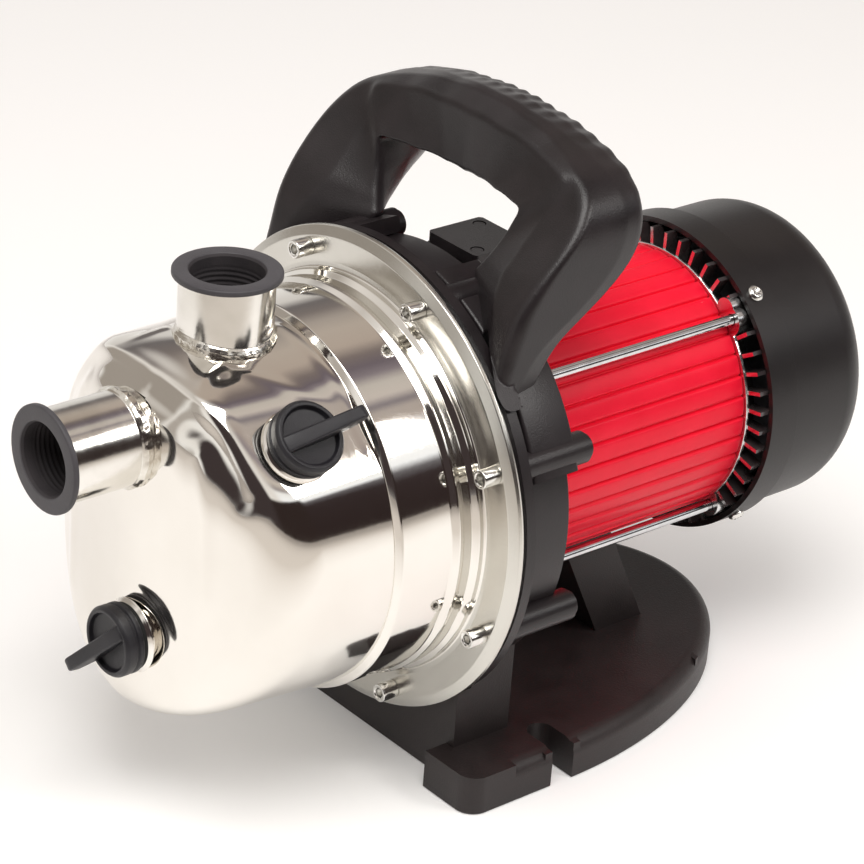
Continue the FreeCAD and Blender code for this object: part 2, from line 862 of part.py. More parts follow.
# ------------------------------------------------------------------ motor bracket
HANDLE_SCREW_ANGLES = [48, 60, 120, 132]
FOOT_SCREWS = [(x, y) for x in ("16", "31") for y in ("-50", "50")]

bracket_ring = doc.addObject("PartDesign::Body", "bracket_ring")
revolve(bracket_ring, "bracket_outline", [
    ("plate_rear_x", "bracket_inner_r"),
    ("plate_rear_x", "bracket_flange_r"),
    ("bracket_flange_x", "bracket_flange_r"),
    ("bracket_flange_x + 2", "bracket_r"),
    ("bracket_rear_x - 1.5", "bracket_r"),
    ("bracket_rear_x", "bracket_r - 1.5"),
    ("bracket_rear_x", "bracket_inner_r + 1"),
    ("web_rear_x", "bracket_inner_r + 1"),
    ("web_rear_x", "web_bore_r"),
    ("web_front_x", "web_bore_r"),
    ("web_front_x", "bracket_inner_r"),
])
barrel_sketch = new_sketch(bracket_ring, "barrel_outline", "YZ_Plane", "bracket_flange_x - 1")
draw_circle(barrel_sketch, *polar("screw_circle_r", "22.5"), "boss_r")
barrel = extrude(bracket_ring, "barrel", barrel_sketch, "boss_end_x - bracket_flange_x - 1")
tip_sketch = new_sketch(bracket_ring, "tip_outline", "YZ_Plane", "boss_end_x - 3")
draw_circle(tip_sketch, *polar("screw_circle_r", "22.5"), "boss_r - 1.4")
tip = extrude(bracket_ring, "tip", tip_sketch, "3")
barrels = bracket_ring.newObject("PartDesign::PolarPattern", "barrels")
barrels.Originals = [barrel, tip]
barrels.Axis = (origin_feature(bracket_ring, "X_Axis"), [""])
barrels.Angle = 360
bind(barrels, "Occurrences", "screw_count")
bracket_ring.Tip = barrels
doc.recompute()
drill(bracket_ring, "barrel_holes", [
    (*spot, "screw_hole_r") for spot in ring_spots("screw_circle_r", SCREW_ANGLES)
], "plate_rear_x - 1", "screw_end_x - plate_rear_x + 3")
drill(bracket_ring, "web_holes", [
    (*spot, "2.3") for spot in ring_spots("50", QUARTERS)
], "web_front_x - 1", "10")
foot_screw_bores = [
    cylinder(f"ring_bore_{index}", "2.3", "25", x, y, "-95", "Z")
    for index, (x, y) in enumerate(FOOT_SCREWS)
]
deliver(remove("bracket", bracket_ring,
               radial_holes("grip_hole", HANDLE_SCREW_ANGLES, "18", "84", "14", "2.3")
               + foot_screw_bores), "motor_bracket")


# ------------------------------------------------------------------ foot
def foot_plan(name, inset, bottom, height):
    """D-shaped slab: straight front part and a half-ellipse tail."""
    front = box(name + "_front", f"foot_front_x + {inset}", f"-foot_half_width + {inset}",
                bottom, f"foot_straight_x - foot_front_x - {inset}",
                f"2 * (foot_half_width - {inset})", height)
    curve = doc.addObject("Part::Ellipse", name + "_curve")
    bind(curve, "MajorRadius", f"foot_rear_x - foot_straight_x - {inset}")
    bind(curve, "MinorRadius", f"foot_half_width - {inset}")
    put(curve, "foot_straight_x", "0", bottom)
    disc = doc.addObject("Part::Extrusion", name + "_disc")
    disc.Base = curve
    disc.DirMode = "Custom"
    disc.Dir = FreeCAD.Vector(0, 0, 1)
    disc.Solid = True
    bind(disc, "LengthFwd", height)
    tail_half = box(name + "_half", "foot_straight_x - 0.01", "-120", bottom,
                    "200", "240", height)
    tail = overlap(name + "_tail", [disc, tail_half])
    return join(name, [front, tail])


def slot_shape(name, side, grow, bottom, height):
    """Open-ended mounting slot on one side of the foot, or its wall when grown."""
    tip_y = f"{side} * (foot_half_width - slot_depth + slot_r)"
    low = tip_y if side > 0 else "-foot_half_width - 5"
    return join(name, [
        cylinder(name + "_tip", f"slot_r + {grow}", height, "slot_x", tip_y, bottom, "Z"),
        box(name + "_mouth", f"slot_x - slot_r - {grow}", low, bottom,
            f"2 * (slot_r + {grow})", "slot_depth - slot_r + 5", height),
    ])


floor_z = "-shaft_height"
foot_top = "foot_thickness - shaft_height"
slab = foot_plan("foot_slab", "0", floor_z, "foot_thickness")
foot_top_z = number(foot_top)
rounded_slab = round_edges(
    "foot_rounded", slab, "foot_edge_fillet",
    lambda edge: edge.BoundBox.ZMin > foot_top_z - 0.1 and edge.BoundBox.XMax > 20)
front_corner = number("block_front_x")
outer_corner = number("foot_half_width")


def front_corner_edge(edge):
    bounds = edge.BoundBox
    outside = max(abs(bounds.YMin), abs(bounds.YMax)) > outer_corner - 0.1
    return bounds.ZLength > 10 and bounds.XMax < front_corner + 0.1 and outside


blocks = [
    round_edges(
        f"foot_block_{side}",
        box(f"block_box_{side}", "block_front_x",
            "block_inner_y" if side > 0 else "-foot_half_width", floor_z,
            "foot_front_x + 14 - block_front_x", "foot_half_width - block_inner_y",
            "foot_thickness"),
        "block_corner_r", front_corner_edge)
    for side in (1, -1)
]
pedestal = box("pedestal", "foot_front_x", "-pedestal_half_width", f"{foot_top} - 1",
               "pedestal_rear_x - foot_front_x", "2 * pedestal_half_width", "48")
post = prism("post", "XZ", [
    ("post_base_x", f"{foot_top} - 1"),
    ("post_base_x + post_length", f"{foot_top} - 1"),
    ("post_top_x + post_length", "-45"),
    ("post_top_x", "-45"),
], "-post_half_width", "2 * post_half_width")
hollow = foot_plan("foot_hollow", "foot_wall", f"{floor_z} - 1",
                   "foot_thickness - foot_wall + 1")
kept_walls = (
    [slot_shape(f"slot_wall_{side}", side, "foot_wall", floor_z, "foot_thickness - 1")
     for side in (1, -1)]
    + [box(f"cross_rib_{x}", f"{x}", "-75", floor_z, "3", "150", "foot_thickness - 1")
       for x in (20, 72, 112, 148)]
    + [box(f"long_rib_{index}", "6", f"{y}", floor_z, "160", "3", "foot_thickness - 1")
       for index, y in enumerate((-45, 42))]
    + [cylinder("centre_pad", "12", "foot_thickness - 1", "slot_x", "0", floor_z, "Z")]
    + [cylinder(f"screw_pillar_{index}", "6", "foot_thickness - 1", x, y, floor_z, "Z")
       for index, (x, y) in enumerate(FOOT_SCREWS)]
)
plate_bound = foot_plan("foot_bound", "0.5", floor_z, "foot_thickness")
shell = remove("foot_shell", rounded_slab, [hollow])
ribs = overlap("foot_ribs", [join("rib_set", kept_walls), plate_bound])
cradle = cylinder("cradle", "housing_fin_r + 0.6", "80", "post_top_x - 10")
saddle_cuts = [
    cylinder("ring_space", "bracket_r + 0.15", "80", "0"),
    cylinder("flange_space", "bracket_flange_r + 0.4", "bracket_flange_x + 2.4", "0"),
    cradle,
]
barrel_space = [
    cylinder(f"barrel_space_{index}", "boss_r + 0.4", "70", "0", *spot)
    for index, spot in enumerate(ring_spots("screw_circle_r", SCREW_ANGLES))
]
slot_cuts = [slot_shape(f"slot_{side}", side, "0", f"{floor_z} - 1", "foot_thickness + 2")
             for side in (1, -1)]
screw_cuts = []
for index, (x, y) in enumerate(FOOT_SCREWS):
    screw_cuts.append(cylinder(f"foot_bore_{index}", "2.3", "60", x, y, f"{floor_z} - 1", "Z"))
    screw_cuts.append(cylinder(f"foot_sink_{index}", "4.6", "9", x, y, f"{floor_z} - 1", "Z"))
foot_solid = join("foot_solid", [shell, ribs, pedestal, post] + blocks)
deliver(remove("foot", foot_solid, saddle_cuts + barrel_space + slot_cuts + screw_cuts),
        "pump_foot")

deliver(group("foot_screw_set", [
    join(f"foot_screw_{index}", [
        cylinder(f"foot_shank_{index}", "2", "42", x, y, f"{floor_z} + 8", "Z"),
        cylinder(f"foot_head_{index}", "4.2", "3", x, y, f"{floor_z} + 5", "Z"),
    ])
    for index, (x, y) in enumerate(FOOT_SCREWS)
]), "foot_screws")


# ------------------------------------------------------------------ carrying handle
# Radial planes of one side, from the bracket ring (below the handle centre) up to the
# middle of the grip. Each row: angle above the horizontal, then pairs of reach from the
# handle centre and x: hole edge, front ridge, front corner, outer face, rear corner;
# last the reach of the rear inner edge.
HANDLE_STATIONS = [
    (-24, 44, 20, 80, 3, 88.5, 4, 88.5, 20, 85, 26, 62),
    (-12, 37, 26, 71, 8.5, 83.5, 7, 83.5, 30, 80, 36, 57),
    (0, 33, 29.5, 62, 14.4, 82.5, 12, 82.5, 56, 79, 61.5, 55),
    (10, 37.5, 32, 59, 22.5, 84.5, 22, 84.5, 70, 81, 76, 56),
    (20, 43.5, 35, 62.7, 32.5, 88.7, 38, 88.7, 74, 84, 80, 55),
    (28, 50, 37, 68, 41, 88, 47.5, 88, 74, 83.5, 80.5, 56),
    (33, 55.5, 38.5, 73, 45.5, 84.8, 50.5, 85, 74, 80, 81.5, 56),
    (37, 49.8, 40, 77.5, 48, 81, 53, 81.4, 74, 76.5, 82, 52),
    (50, 39, 43, 67.5, 50, 71.5, 58, 72, 72, 66, 83, 41),
    (70, 31, 46.5, 57.5, 50, 63, 58, 63.8, 70, 57, 83, 33),
    (90, 28, 48, 54.5, 50, 60.8, 58, 61.8, 69, 55, 83, 30),
]


def handle_section(name, station, side):
    """Section of the handle in one radial plane through its centre line along X."""
    angle, hole, hole_x = station[:3]
    rear_x, rear_inner = station[10:]
    outline = doc.addObject("Sketcher::SketchObject", name)
    corners = [(f"{station[index + 1]}", f"{station[index]}") for index in (1, 3, 5, 7, 9)]
    draw_polygon(outline, corners + [
        (f"{rear_x}", f"{rear_inner}"),
        (f"({hole_x} + {rear_x}) / 2", f"({hole} + {rear_inner}) / 2 - 2"),
    ])
    tilt = math.radians(angle)
    forward = FreeCAD.Vector(1, 0, 0)
    outward = FreeCAD.Vector(0, side * math.cos(tilt), math.sin(tilt))
    outline.Placement.Rotation = FreeCAD.Rotation(
        forward, outward, forward.cross(outward), "XYZ")
    bind(outline, "Placement.Base.z", "handle_centre_z")
    return outline


near_sections = [
    handle_section(f"near_section_{index}", station, -1)
    for index, station in enumerate(HANDLE_STATIONS)
]
far_sections = [
    handle_section(f"far_section_{index}", station, 1)
    for index, station in enumerate(HANDLE_STATIONS[:-1])
]
arch = doc.addObject("Part::Loft", "handle_arch")
arch.Sections = near_sections + far_sections[::-1]
arch.Solid = True
arch.Ruled = True
saddles = []
for label, start in (("near", 105), ("far", 39)):
    saddles.append(sector(f"handle_saddle_{label}", "saddle_r",
                          "saddle_rear_x - saddle_front_x", "saddle_front_x", start, 36))
handle_cuts = [
    cylinder("handle_ring_space", "bracket_r + saddle_gap", "bracket_rear_x - 8", "8.5"),
    cylinder("handle_flange_space", "flange_r + 0.5", "30", "bracket_flange_x - 27.4"),
    cylinder("handle_motor_space", "bracket_r - 3", "30", "bracket_rear_x - 0.6"),
] + [
    cylinder(f"handle_barrel_space_{index}", "boss_r + 0.5", "60", "0", *spot)
    for index, spot in enumerate(ring_spots("screw_circle_r", SCREW_ANGLES[1:3]))
] + radial_holes("handle_hole", HANDLE_SCREW_ANGLES, "18", "90", "12", "1.9")
handle_bulk = join("handle_bulk", [arch] + saddles)
deliver(remove("handle", handle_bulk, handle_cuts), "carrying_handle")

deliver(group("handle_screw_set", [
    radial_screw(f"handle_screw_{angle}", angle, "18", "87", "14", "1.6", "3.4", "85.6", "2.4")
    for angle in HANDLE_SCREW_ANGLES
]), "handle_screws")


# ------------------------------------------------------------------ motor shell
shield = new_body("front_shield")
revolve(shield, "shield_outline", [
    ("web_rear_x - 4", "9"),
    ("web_rear_x - 4", "web_bore_r - 0.4"),
    ("shield_front_x", "web_bore_r - 0.4"),
    ("shield_front_x", "housing_root_r"),
    ("shield_face_x", "housing_root_r"),
    ("shield_face_x", "housing_bore_r - 0.3"),
    ("shield_face_x + 5", "housing_bore_r - 0.3"),
    ("shield_face_x + 5", "housing_bore_r - 5"),
    ("shield_face_x - 3", "housing_bore_r - 6"),
    ("shield_face_x - 3", "24"),
    ("front_bearing_x + bearing_width", "24"),
    ("front_bearing_x + bearing_width", "bearing_outer_r + 0.05"),
    ("front_bearing_x", "bearing_outer_r + 0.05"),
    ("front_bearing_x", "9"),
])
lug_sketch = new_sketch(shield, "lug_outline", "YZ_Plane", "shield_front_x + 3")
for spot in ring_spots("rod_circle_r", QUARTERS):
    draw_circle(lug_sketch, *spot, "7")
extrude(shield, "lugs", lug_sketch, "shield_face_x - shield_front_x - 3")
drill(shield, "rod_holes",
      [(*spot, "rod_r + 0.3") for spot in ring_spots("rod_circle_r", QUARTERS)],
      "shield_front_x", "20")
drill(shield, "thread_holes", [(*spot, "1.8") for spot in ring_spots("50", QUARTERS)],
      "shield_front_x - 1", "9")

deliver(group("shield_screw_set", [
    join(f"shield_screw_{index}", [
        cylinder(f"shield_shank_{index}", "1.6", "14", "web_front_x - 1", *spot),
        cylinder(f"shield_head_{index}", "3.6", "3", "web_front_x - 3.05", *spot),
    ])
    for index, spot in enumerate(ring_spots("50", QUARTERS))
]), "shield_screws")

housing = new_body("motor_housing")
revolve(housing, "housing_wall", [
    ("housing_front_x + 0.05", "housing_bore_r"),
    ("housing_front_x + 0.05", "housing_root_r"),
    ("housing_rear_x", "housing_root_r"),
    ("housing_rear_x", "housing_bore_r"),
])
fin_sketch = new_sketch(housing, "fin_outline", "YZ_Plane", "housing_front_x + 0.05")
draw_polygon(fin_sketch, [
    ("-3.9", "housing_root_r - 1"),
    ("-3.9", "housing_root_r + 0.9"),
    ("-3.0", "housing_fin_r"),
    ("3.0", "housing_fin_r"),
    ("3.9", "housing_root_r + 0.9"),
    ("3.9", "housing_root_r - 1"),
])
fin = extrude(housing, "fin", fin_sketch, "housing_rear_x - housing_front_x - 0.05")
repeat_round(housing, "fins", fin, "housing_fins")
wire_sketch = new_sketch(housing, "wire_outline", "XY_Plane", "housing_bore_r - 6")
draw_circle(wire_sketch, "(box_front_x + box_rear_x) / 2", "0", "5")
extrude(housing, "wire_hole", wire_sketch, "15", "Pocket", backward=True)

rear_shield = doc.addObject("PartDesign::Body", "rear_shield_casting")
revolve(rear_shield, "rear_outline", [
    ("housing_rear_x - 5", "housing_bore_r - 5"),
    ("housing_rear_x - 5", "housing_bore_r - 0.3"),
    ("housing_rear_x + 0.05", "housing_bore_r - 0.3"),
    ("housing_rear_x + 0.05", "housing_root_r"),
    ("rear_shield_rear_x - 6", "housing_root_r"),
    ("rear_shield_rear_x - 6", "24"),
    ("rear_shield_rear_x", "22"),
    ("rear_shield_rear_x", "9"),
    ("rear_bearing_x + bearing_width + 1.5", "9"),
    ("rear_bearing_x + bearing_width + 1.5", "bearing_outer_r + 0.05"),
    ("rear_bearing_x", "bearing_outer_r + 0.05"),
    ("rear_bearing_x", "24"),
    ("housing_rear_x + 3", "24"),
    ("housing_rear_x + 3", "housing_bore_r - 6"),
])
rib_sketch = new_sketch(rear_shield, "rib_outline", "YZ_Plane", "housing_rear_x + 1")
draw_polygon(rib_sketch, [
    ("-0.9", "housing_root_r - 3"),
    ("-0.9", "cover_mouth_r - cover_wall - 0.4"),
    ("0.9", "cover_mouth_r - cover_wall - 0.4"),
    ("0.9", "housing_root_r - 3"),
])
rib = extrude(rear_shield, "rib", rib_sketch, "rear_shield_rear_x - 7 - housing_rear_x")
repeat_round(rear_shield, "ribs", rib, "rear_fins")
rod_lugs = new_sketch(rear_shield, "rod_lug_outline", "YZ_Plane", "housing_rear_x + 0.05")
for spot in ring_spots("rod_circle_r - 1.9", QUARTERS):
    draw_circle(rod_lugs, *spot, "7")
extrude(rear_shield, "rod_lugs", rod_lugs, "11")
cover_lugs = new_sketch(rear_shield, "cover_lug_outline", "YZ_Plane", "housing_rear_x + 0.05")
for spot in ring_spots("cover_mouth_r - cover_wall - 5.5", COVER_ANGLES):
    draw_circle(cover_lugs, *spot, "5")
extrude(rear_shield, "cover_lugs", cover_lugs, "18")
drill(rear_shield, "rod_threads",
      [(*spot, "rod_r + 0.3") for spot in ring_spots("rod_circle_r", QUARTERS)],
      "housing_rear_x - 2", "12")
cover_threads = radial_holes("cover_thread", COVER_ANGLES, "cover_screw_x", "60", "15", "1.9")
deliver(remove("rear_shield_cut", rear_shield, cover_threads), "rear_shield")

deliver(group("tie_rod_set", [
    join(f"tie_rod_{index}", [
        cylinder(f"rod_shank_{index}", "rod_r", "housing_rear_x + 8 - shield_front_x",
                 "shield_front_x + 1", *spot),
        cylinder(f"rod_head_{index}", "rod_head_r", "2.7", "shield_front_x + 0.2", *spot),
    ])
    for index, spot in enumerate(ring_spots("rod_circle_r", QUARTERS))
]), "tie_rods")


# ------------------------------------------------------------------ bearings
def bearing(name, x):
    outer = new_body(name + "_outer")
    revolve(outer, name + "_outer_ring", [
        (x, "bearing_outer_r - 2.9"),
        (x, "bearing_outer_r"),
        (f"{x} + bearing_width", "bearing_outer_r"),
        (f"{x} + bearing_width", "bearing_outer_r - 2.9"),
    ])
    inner = new_body(name + "_inner")
    revolve(inner, name + "_inner_ring", [
        (x, "bearing_bore_r"),
        (x, "bearing_bore_r + 2.9"),
        (f"{x} + bearing_width", "bearing_bore_r + 2.9"),
        (f"{x} + bearing_width", "bearing_bore_r"),
    ])
    middle = f"{x} + bearing_width / 2"
    cage = lathe(name + "_cage_ring", [
        (f"{middle} - 2.6", "11.9"),
        (f"{middle} - 2.6", "13.1"),
        (f"{middle} + 2.6", "13.1"),
        (f"{middle} + 2.6", "11.9"),
    ])
    balls = []
    for index in range(8):
        ball = doc.addObject("Part::Sphere", f"{name}_ball_{index}")
        bind(ball, "Radius", "1.75")
        put(ball, middle, *polar("12.5", f"{45 * index}"))
        balls.append(ball)
    deliver(join(name + "_cage_set", [cage] + balls), name + "_cage")


bearing("front_bearing", "front_bearing_x")
bearing("rear_bearing", "rear_bearing_x")

spring = new_body("wave_spring")
revolve(spring, "wave_outline", [
    ("rear_bearing_x + bearing_width + 0.1", "14.8"),
    ("rear_bearing_x + bearing_width + 0.1", "17.2"),
    ("rear_bearing_x + bearing_width + 1.4", "17.2"),
    ("rear_bearing_x + bearing_width + 1.4", "14.8"),
])


# ------------------------------------------------------------------ stator and rotor
stator = new_body("stator_core")
revolve(stator, "lamination", [
    ("stator_front_x", "stator_bore_r"),
    ("stator_front_x", "stator_r"),
    ("stator_rear_x", "stator_r"),
    ("stator_rear_x", "stator_bore_r"),
])
slot_sketch = new_sketch(stator, "slot_outline", "YZ_Plane", "stator_front_x - 1")
draw_polygon(slot_sketch, [
    ("-1.8", "stator_bore_r + 2"),
    ("-2.8", "stator_r - 10"),
    ("2.8", "stator_r - 10"),
    ("1.8", "stator_bore_r + 2"),
])
slot = extrude(stator, "slot", slot_sketch, "stator_rear_x - stator_front_x + 2",
               "Pocket", backward=True)
repeat_round(stator, "slots", slot, "stator_slots")

windings = new_body("stator_windings")
revolve(windings, "front_coil", [
    ("stator_front_x - 17", "38"),
    ("stator_front_x - 15", "35"),
    ("stator_front_x - 0.4", "stator_bore_r + 2.5"),
    ("stator_front_x - 0.4", "stator_r - 11"),
    ("stator_front_x - 14", "stator_r - 7"),
    ("stator_front_x - 17", "stator_r - 10"),
])
coil_sketch = new_sketch(windings, "coil_outline", "YZ_Plane", "stator_front_x - 2")
draw_polygon(coil_sketch, [
    ("-1.4", "stator_bore_r + 2.7"),
    ("-2.3", "stator_r - 11"),
    ("2.3", "stator_r - 11"),
    ("1.4", "stator_bore_r + 2.7"),
])
coil = extrude(windings, "coil", coil_sketch, "stator_rear_x - stator_front_x + 4")
repeat_round(windings, "coils", coil, "stator_slots")
revolve(windings, "rear_coil", [
    ("stator_rear_x + 17", "38"),
    ("stator_rear_x + 15", "35"),
    ("stator_rear_x + 0.4", "stator_bore_r + 2.5"),
    ("stator_rear_x + 0.4", "stator_r - 11"),
    ("stator_rear_x + 14", "stator_r - 7"),
    ("stator_rear_x + 17", "stator_r - 10"),
])

rotor = new_body("rotor_core")
revolve(rotor, "rotor_outline", [
    ("stator_front_x - 5", "22"),
    ("stator_front_x - 5", "28.5"),
    ("stator_front_x", "28.5"),
    ("stator_front_x", "rotor_r"),
    ("stator_rear_x", "rotor_r"),
    ("stator_rear_x", "28.5"),
    ("stator_rear_x + 5", "28.5"),
    ("stator_rear_x + 5", "22"),
    ("stator_rear_x", "20"),
    ("stator_rear_x", "9.05"),
    ("stator_front_x", "9.05"),
    ("stator_front_x", "20"),
])
wafter_sketch = new_sketch(rotor, "wafter_outline", "YZ_Plane", "stator_front_x - 11")
draw_polygon(wafter_sketch, [("-0.8", "23"), ("-0.8", "28"), ("0.8", "28"), ("0.8", "23")])
wafter = extrude(rotor, "wafter", wafter_sketch, "7")
repeat_round(rotor, "wafters", wafter, "12")

shaft = new_body("motor_shaft")
revolve(shaft, "shaft_outline", [
    ("shaft_front_x", "0"),
    ("shaft_front_x", "3.4"),
    ("shaft_front_x + 0.6", "4"),
    ("impeller_front_x - 3", "4"),
    ("impeller_front_x - 3", "pump_shaft_r"),
    ("front_bearing_x - 7", "pump_shaft_r"),
    ("front_bearing_x - 7", "shaft_r - 0.02"),
    ("front_bearing_x + bearing_width", "shaft_r - 0.02"),
    ("front_bearing_x + bearing_width", "9"),
    ("rear_bearing_x", "9"),
    ("rear_bearing_x", "shaft_r - 0.02"),
    ("rear_shield_rear_x + 3", "shaft_r - 0.02"),
    ("rear_shield_rear_x + 3", "pump_shaft_r"),
    ("shaft_rear_x - 0.8", "pump_shaft_r"),
    ("shaft_rear_x", "pump_shaft_r - 0.8"),
    ("shaft_rear_x", "0"),
])

slinger = new_body("water_slinger")
revolve(slinger, "slinger_outline", [
    ("seal_hub_x + 3", "pump_shaft_r + 0.03"),
    ("seal_hub_x + 3", "9"),
    ("seal_hub_x + 5", "22"),
    ("seal_hub_x + 7", "22"),
    ("seal_hub_x + 6", "10"),
    ("seal_hub_x + 10", "9"),
    ("seal_hub_x + 10", "pump_shaft_r + 0.03"),
])


# ------------------------------------------------------------------ fan and fan cover
fan = new_body("cooling_fan")
revolve(fan, "fan_disc", [
    ("fan_front_x", "pump_shaft_r + 0.03"),
    ("fan_front_x", "fan_r"),
    ("fan_front_x + 2.5", "fan_r"),
    ("fan_front_x + 2.5", "14"),
    ("fan_rear_x - 1", "12"),
    ("fan_rear_x - 1", "pump_shaft_r + 0.03"),
])
fan_blade_sketch = new_sketch(fan, "fan_blade_outline", "YZ_Plane", "fan_front_x + 1")
draw_polygon(fan_blade_sketch, [("-1", "11"), ("-1", "fan_r - 1"), ("1", "fan_r - 1"), ("1", "11")])
fan_blade = extrude(fan, "fan_blade", fan_blade_sketch, "fan_rear_x - fan_front_x - 1")
repeat_round(fan, "fan_blades", fan_blade, "fan_blades")

clip = new_body("fan_clip")
revolve(clip, "clip_outline", [
    ("fan_rear_x - 0.9", "pump_shaft_r + 0.03"),
    ("fan_rear_x - 0.9", "8.8"),
    ("fan_rear_x + 0.3", "8.8"),
    ("fan_rear_x + 0.3", "pump_shaft_r + 0.03"),
])

cover_shell = doc.addObject("PartDesign::Body", "cover_shell")
revolve(cover_shell, "cover_outside", [
    ("cover_mouth_x", "0"),
    ("cover_mouth_x", "cover_mouth_r"),
    ("cover_step_x - 2.5", "cover_mouth_r"),
    ("cover_step_x", "cover_r"),
    ("cover_rear_x", "cover_r"),
    ("cover_rear_x", "0"),
])
fillet(cover_shell, "cover_dome", "cover_corner",
       ring_at(number("cover_rear_x"), number("cover_r")))
revolve(cover_shell, "cover_hollow", [
    ("cover_mouth_x - 1", "0"),
    ("cover_mouth_x - 1", "cover_mouth_r - cover_wall"),
    ("cover_step_x - 2.5", "cover_mouth_r - cover_wall"),
    ("cover_step_x", "cover_r - cover_wall"),
    ("cover_rear_x - cover_corner", "cover_r - cover_wall"),
    ("cover_rear_x - cover_corner * 0.6 - cover_wall * 0.4",
     "cover_r - cover_wall - cover_corner * 0.08"),
    ("cover_rear_x - cover_corner * 0.29 - cover_wall * 0.71",
     "cover_r - cover_corner * 0.29 - cover_wall * 0.71"),
    ("cover_rear_x - cover_wall - cover_corner * 0.08",
     "cover_r - cover_corner * 0.6 - cover_wall * 0.4"),
    ("cover_rear_x - cover_wall", "cover_r - cover_corner"),
    ("cover_rear_x - cover_wall", "0"),
], "Groove")
grille_sketch = new_sketch(cover_shell, "grille_outline", "YZ_Plane", "cover_rear_x - 6")
draw_polygon(grille_sketch, [("-1.6", "14"), ("-1.6", "48"), ("1.6", "48"), ("1.6", "14")])
grille = extrude(cover_shell, "grille", grille_sketch, "10", "Pocket", backward=True)
repeat_round(cover_shell, "grille_slots", grille, "20")
deliver(remove("cover", cover_shell,
               radial_holes("cover_hole", COVER_ANGLES, "cover_screw_x", "68", "10", "1.9")),
        "fan_cover")


def cover_screw(angle):
    screw = radial_screw(f"cover_screw_{angle}", angle, "cover_screw_x", "61",
                         "cover_mouth_r - 60.5", "1.6", "3.6", "cover_mouth_r + 0.05", "2.2")
    first = math.radians(angle)
    outward = FreeCAD.Vector(0, math.cos(first), math.sin(first))
    across = FreeCAD.Vector(0, -math.sin(first), math.cos(first))
    slots = []
    for label, length, width in (("a", 4.2, 1.0), ("b", 1.0, 4.2)):
        slot_box = box(f"cross_{angle}_{label}", "0", "0", "0", f"{length}", f"{width}", "2")
        slot_box.Placement.Rotation = FreeCAD.Rotation(
            FreeCAD.Vector(1, 0, 0), across * -1, outward * -1, "XYZ")
        y, z = polar("cover_mouth_r + 3.2", angle)
        put(slot_box, f"cover_screw_x - {length / 2}",
            f"{y} + {across.y * width / 2}", f"{z} + {across.z * width / 2}")
        slots.append(slot_box)
    return remove(f"cover_screw_solid_{angle}", screw, slots)


deliver(group("cover_screw_set", [cover_screw(angle) for angle in COVER_ANGLES]),
        "fan_cover_screws")


# ------------------------------------------------------------------ terminal box
box_length = "box_rear_x - box_front_x"
box_width = "2 * box_half_width"
box_outer = round_edges(
    "box_outer",
    box("box_block", "box_front_x", "-box_half_width", "52", box_length, box_width,
        "box_rim_z - 52"),
    "2.5", lambda edge: edge.BoundBox.ZLength > 20)
box_cuts = [
    cylinder("box_saddle", "housing_fin_r + 0.3", "80", "20"),
    box("box_cavity", "box_front_x + box_wall", "-box_half_width + box_wall", "housing_fin_r + 3",
        f"{box_length} - 2 * box_wall", f"{box_width} - 2 * box_wall", "60"),
    cylinder("box_wire", "4", "30", "(box_front_x + box_rear_x) / 2", "0", "50", "Z"),
    cylinder("gland_hole", "5.3", "10", "60", "box_half_width - 5", "77", "Y"),
]
deliver(remove("terminal", box_outer, box_cuts), "terminal_box")

lid_outer = round_edges(
    "lid_outer",
    box("lid_block", "box_front_x - 0.6", "-box_half_width - 0.6", "box_rim_z + 0.05",
        f"{box_length} + 1.2", f"{box_width} + 1.2", "box_top_z - box_rim_z - 0.05"),
    "2.2", lambda edge: edge.BoundBox.ZLength > 2)
lid_spots = [("box_front_x + 5", "-box_half_width + 5"), ("box_rear_x - 5", "box_half_width - 5")]
lid_cuts = [
    box("lid_relief", "box_front_x + box_wall", "-box_half_width + box_wall",
        "box_rim_z - 1", f"{box_length} - 2 * box_wall", f"{box_width} - 2 * box_wall", "3.5"),
] + [
    cylinder(f"lid_sink_{index}", "3", "5", x, y, "box_top_z - 1.8", "Z")
    for index, (x, y) in enumerate(lid_spots)
] + [
    cylinder(f"lid_bore_{index}", "1.8", "20", x, y, "box_rim_z - 2", "Z")
    for index, (x, y) in enumerate(lid_spots)
]
deliver(remove("lid", lid_outer, lid_cuts), "terminal_lid")
deliver(group("lid_screw_set", [
    join(f"lid_screw_{index}", [
        cylinder(f"lid_shank_{index}", "1.4", "14", x, y, "box_top_z - 15.5", "Z"),
        cylinder(f"lid_head_{index}", "2.6", "1.5", x, y, "box_top_z - 1.75", "Z"),
    ])
    for index, (x, y) in enumerate(lid_spots)
]), "lid_screws")

capacitor = cylinder("capacitor_can", "6.5", "22", "box_rear_x - 10", "-12", "housing_fin_r + 10.5",
                     "Y")
deliver(group("capacitor_set", [capacitor]), "capacitor")
block_body = box("block_body", "box_front_x + 3.5", "-11", "housing_fin_r + 3.05", "8.5", "20", "9")
deliver(remove("block", block_body, [
    cylinder(f"block_bore_{index}", "1.6", "20", "box_front_x + 7.7", f"{-7.5 + 6.5 * index}",
             "housing_fin_r + 6", "Z")
    for index in range(3)
]), "terminal_block")

gland_shape = join("gland_shape", [
    cylinder("gland_thread", "5", "8", "60", "box_half_width - 4", "77", "Y"),
    prism("gland_hex", "XZ", [
        (f"60 + 8 * cos({60 * index})", f"77 + 8 * sin({60 * index})") for index in range(6)
    ], "box_half_width + 0.05", "4.5"),
    cylinder("gland_cap", "6.8", "9", "60", "box_half_width + 4.5", "77", "Y"),
])
deliver(remove("gland", gland_shape,
               [cylinder("gland_bore", "3.6", "40", "60", "box_half_width - 10", "77", "Y")]),
        "cable_gland")


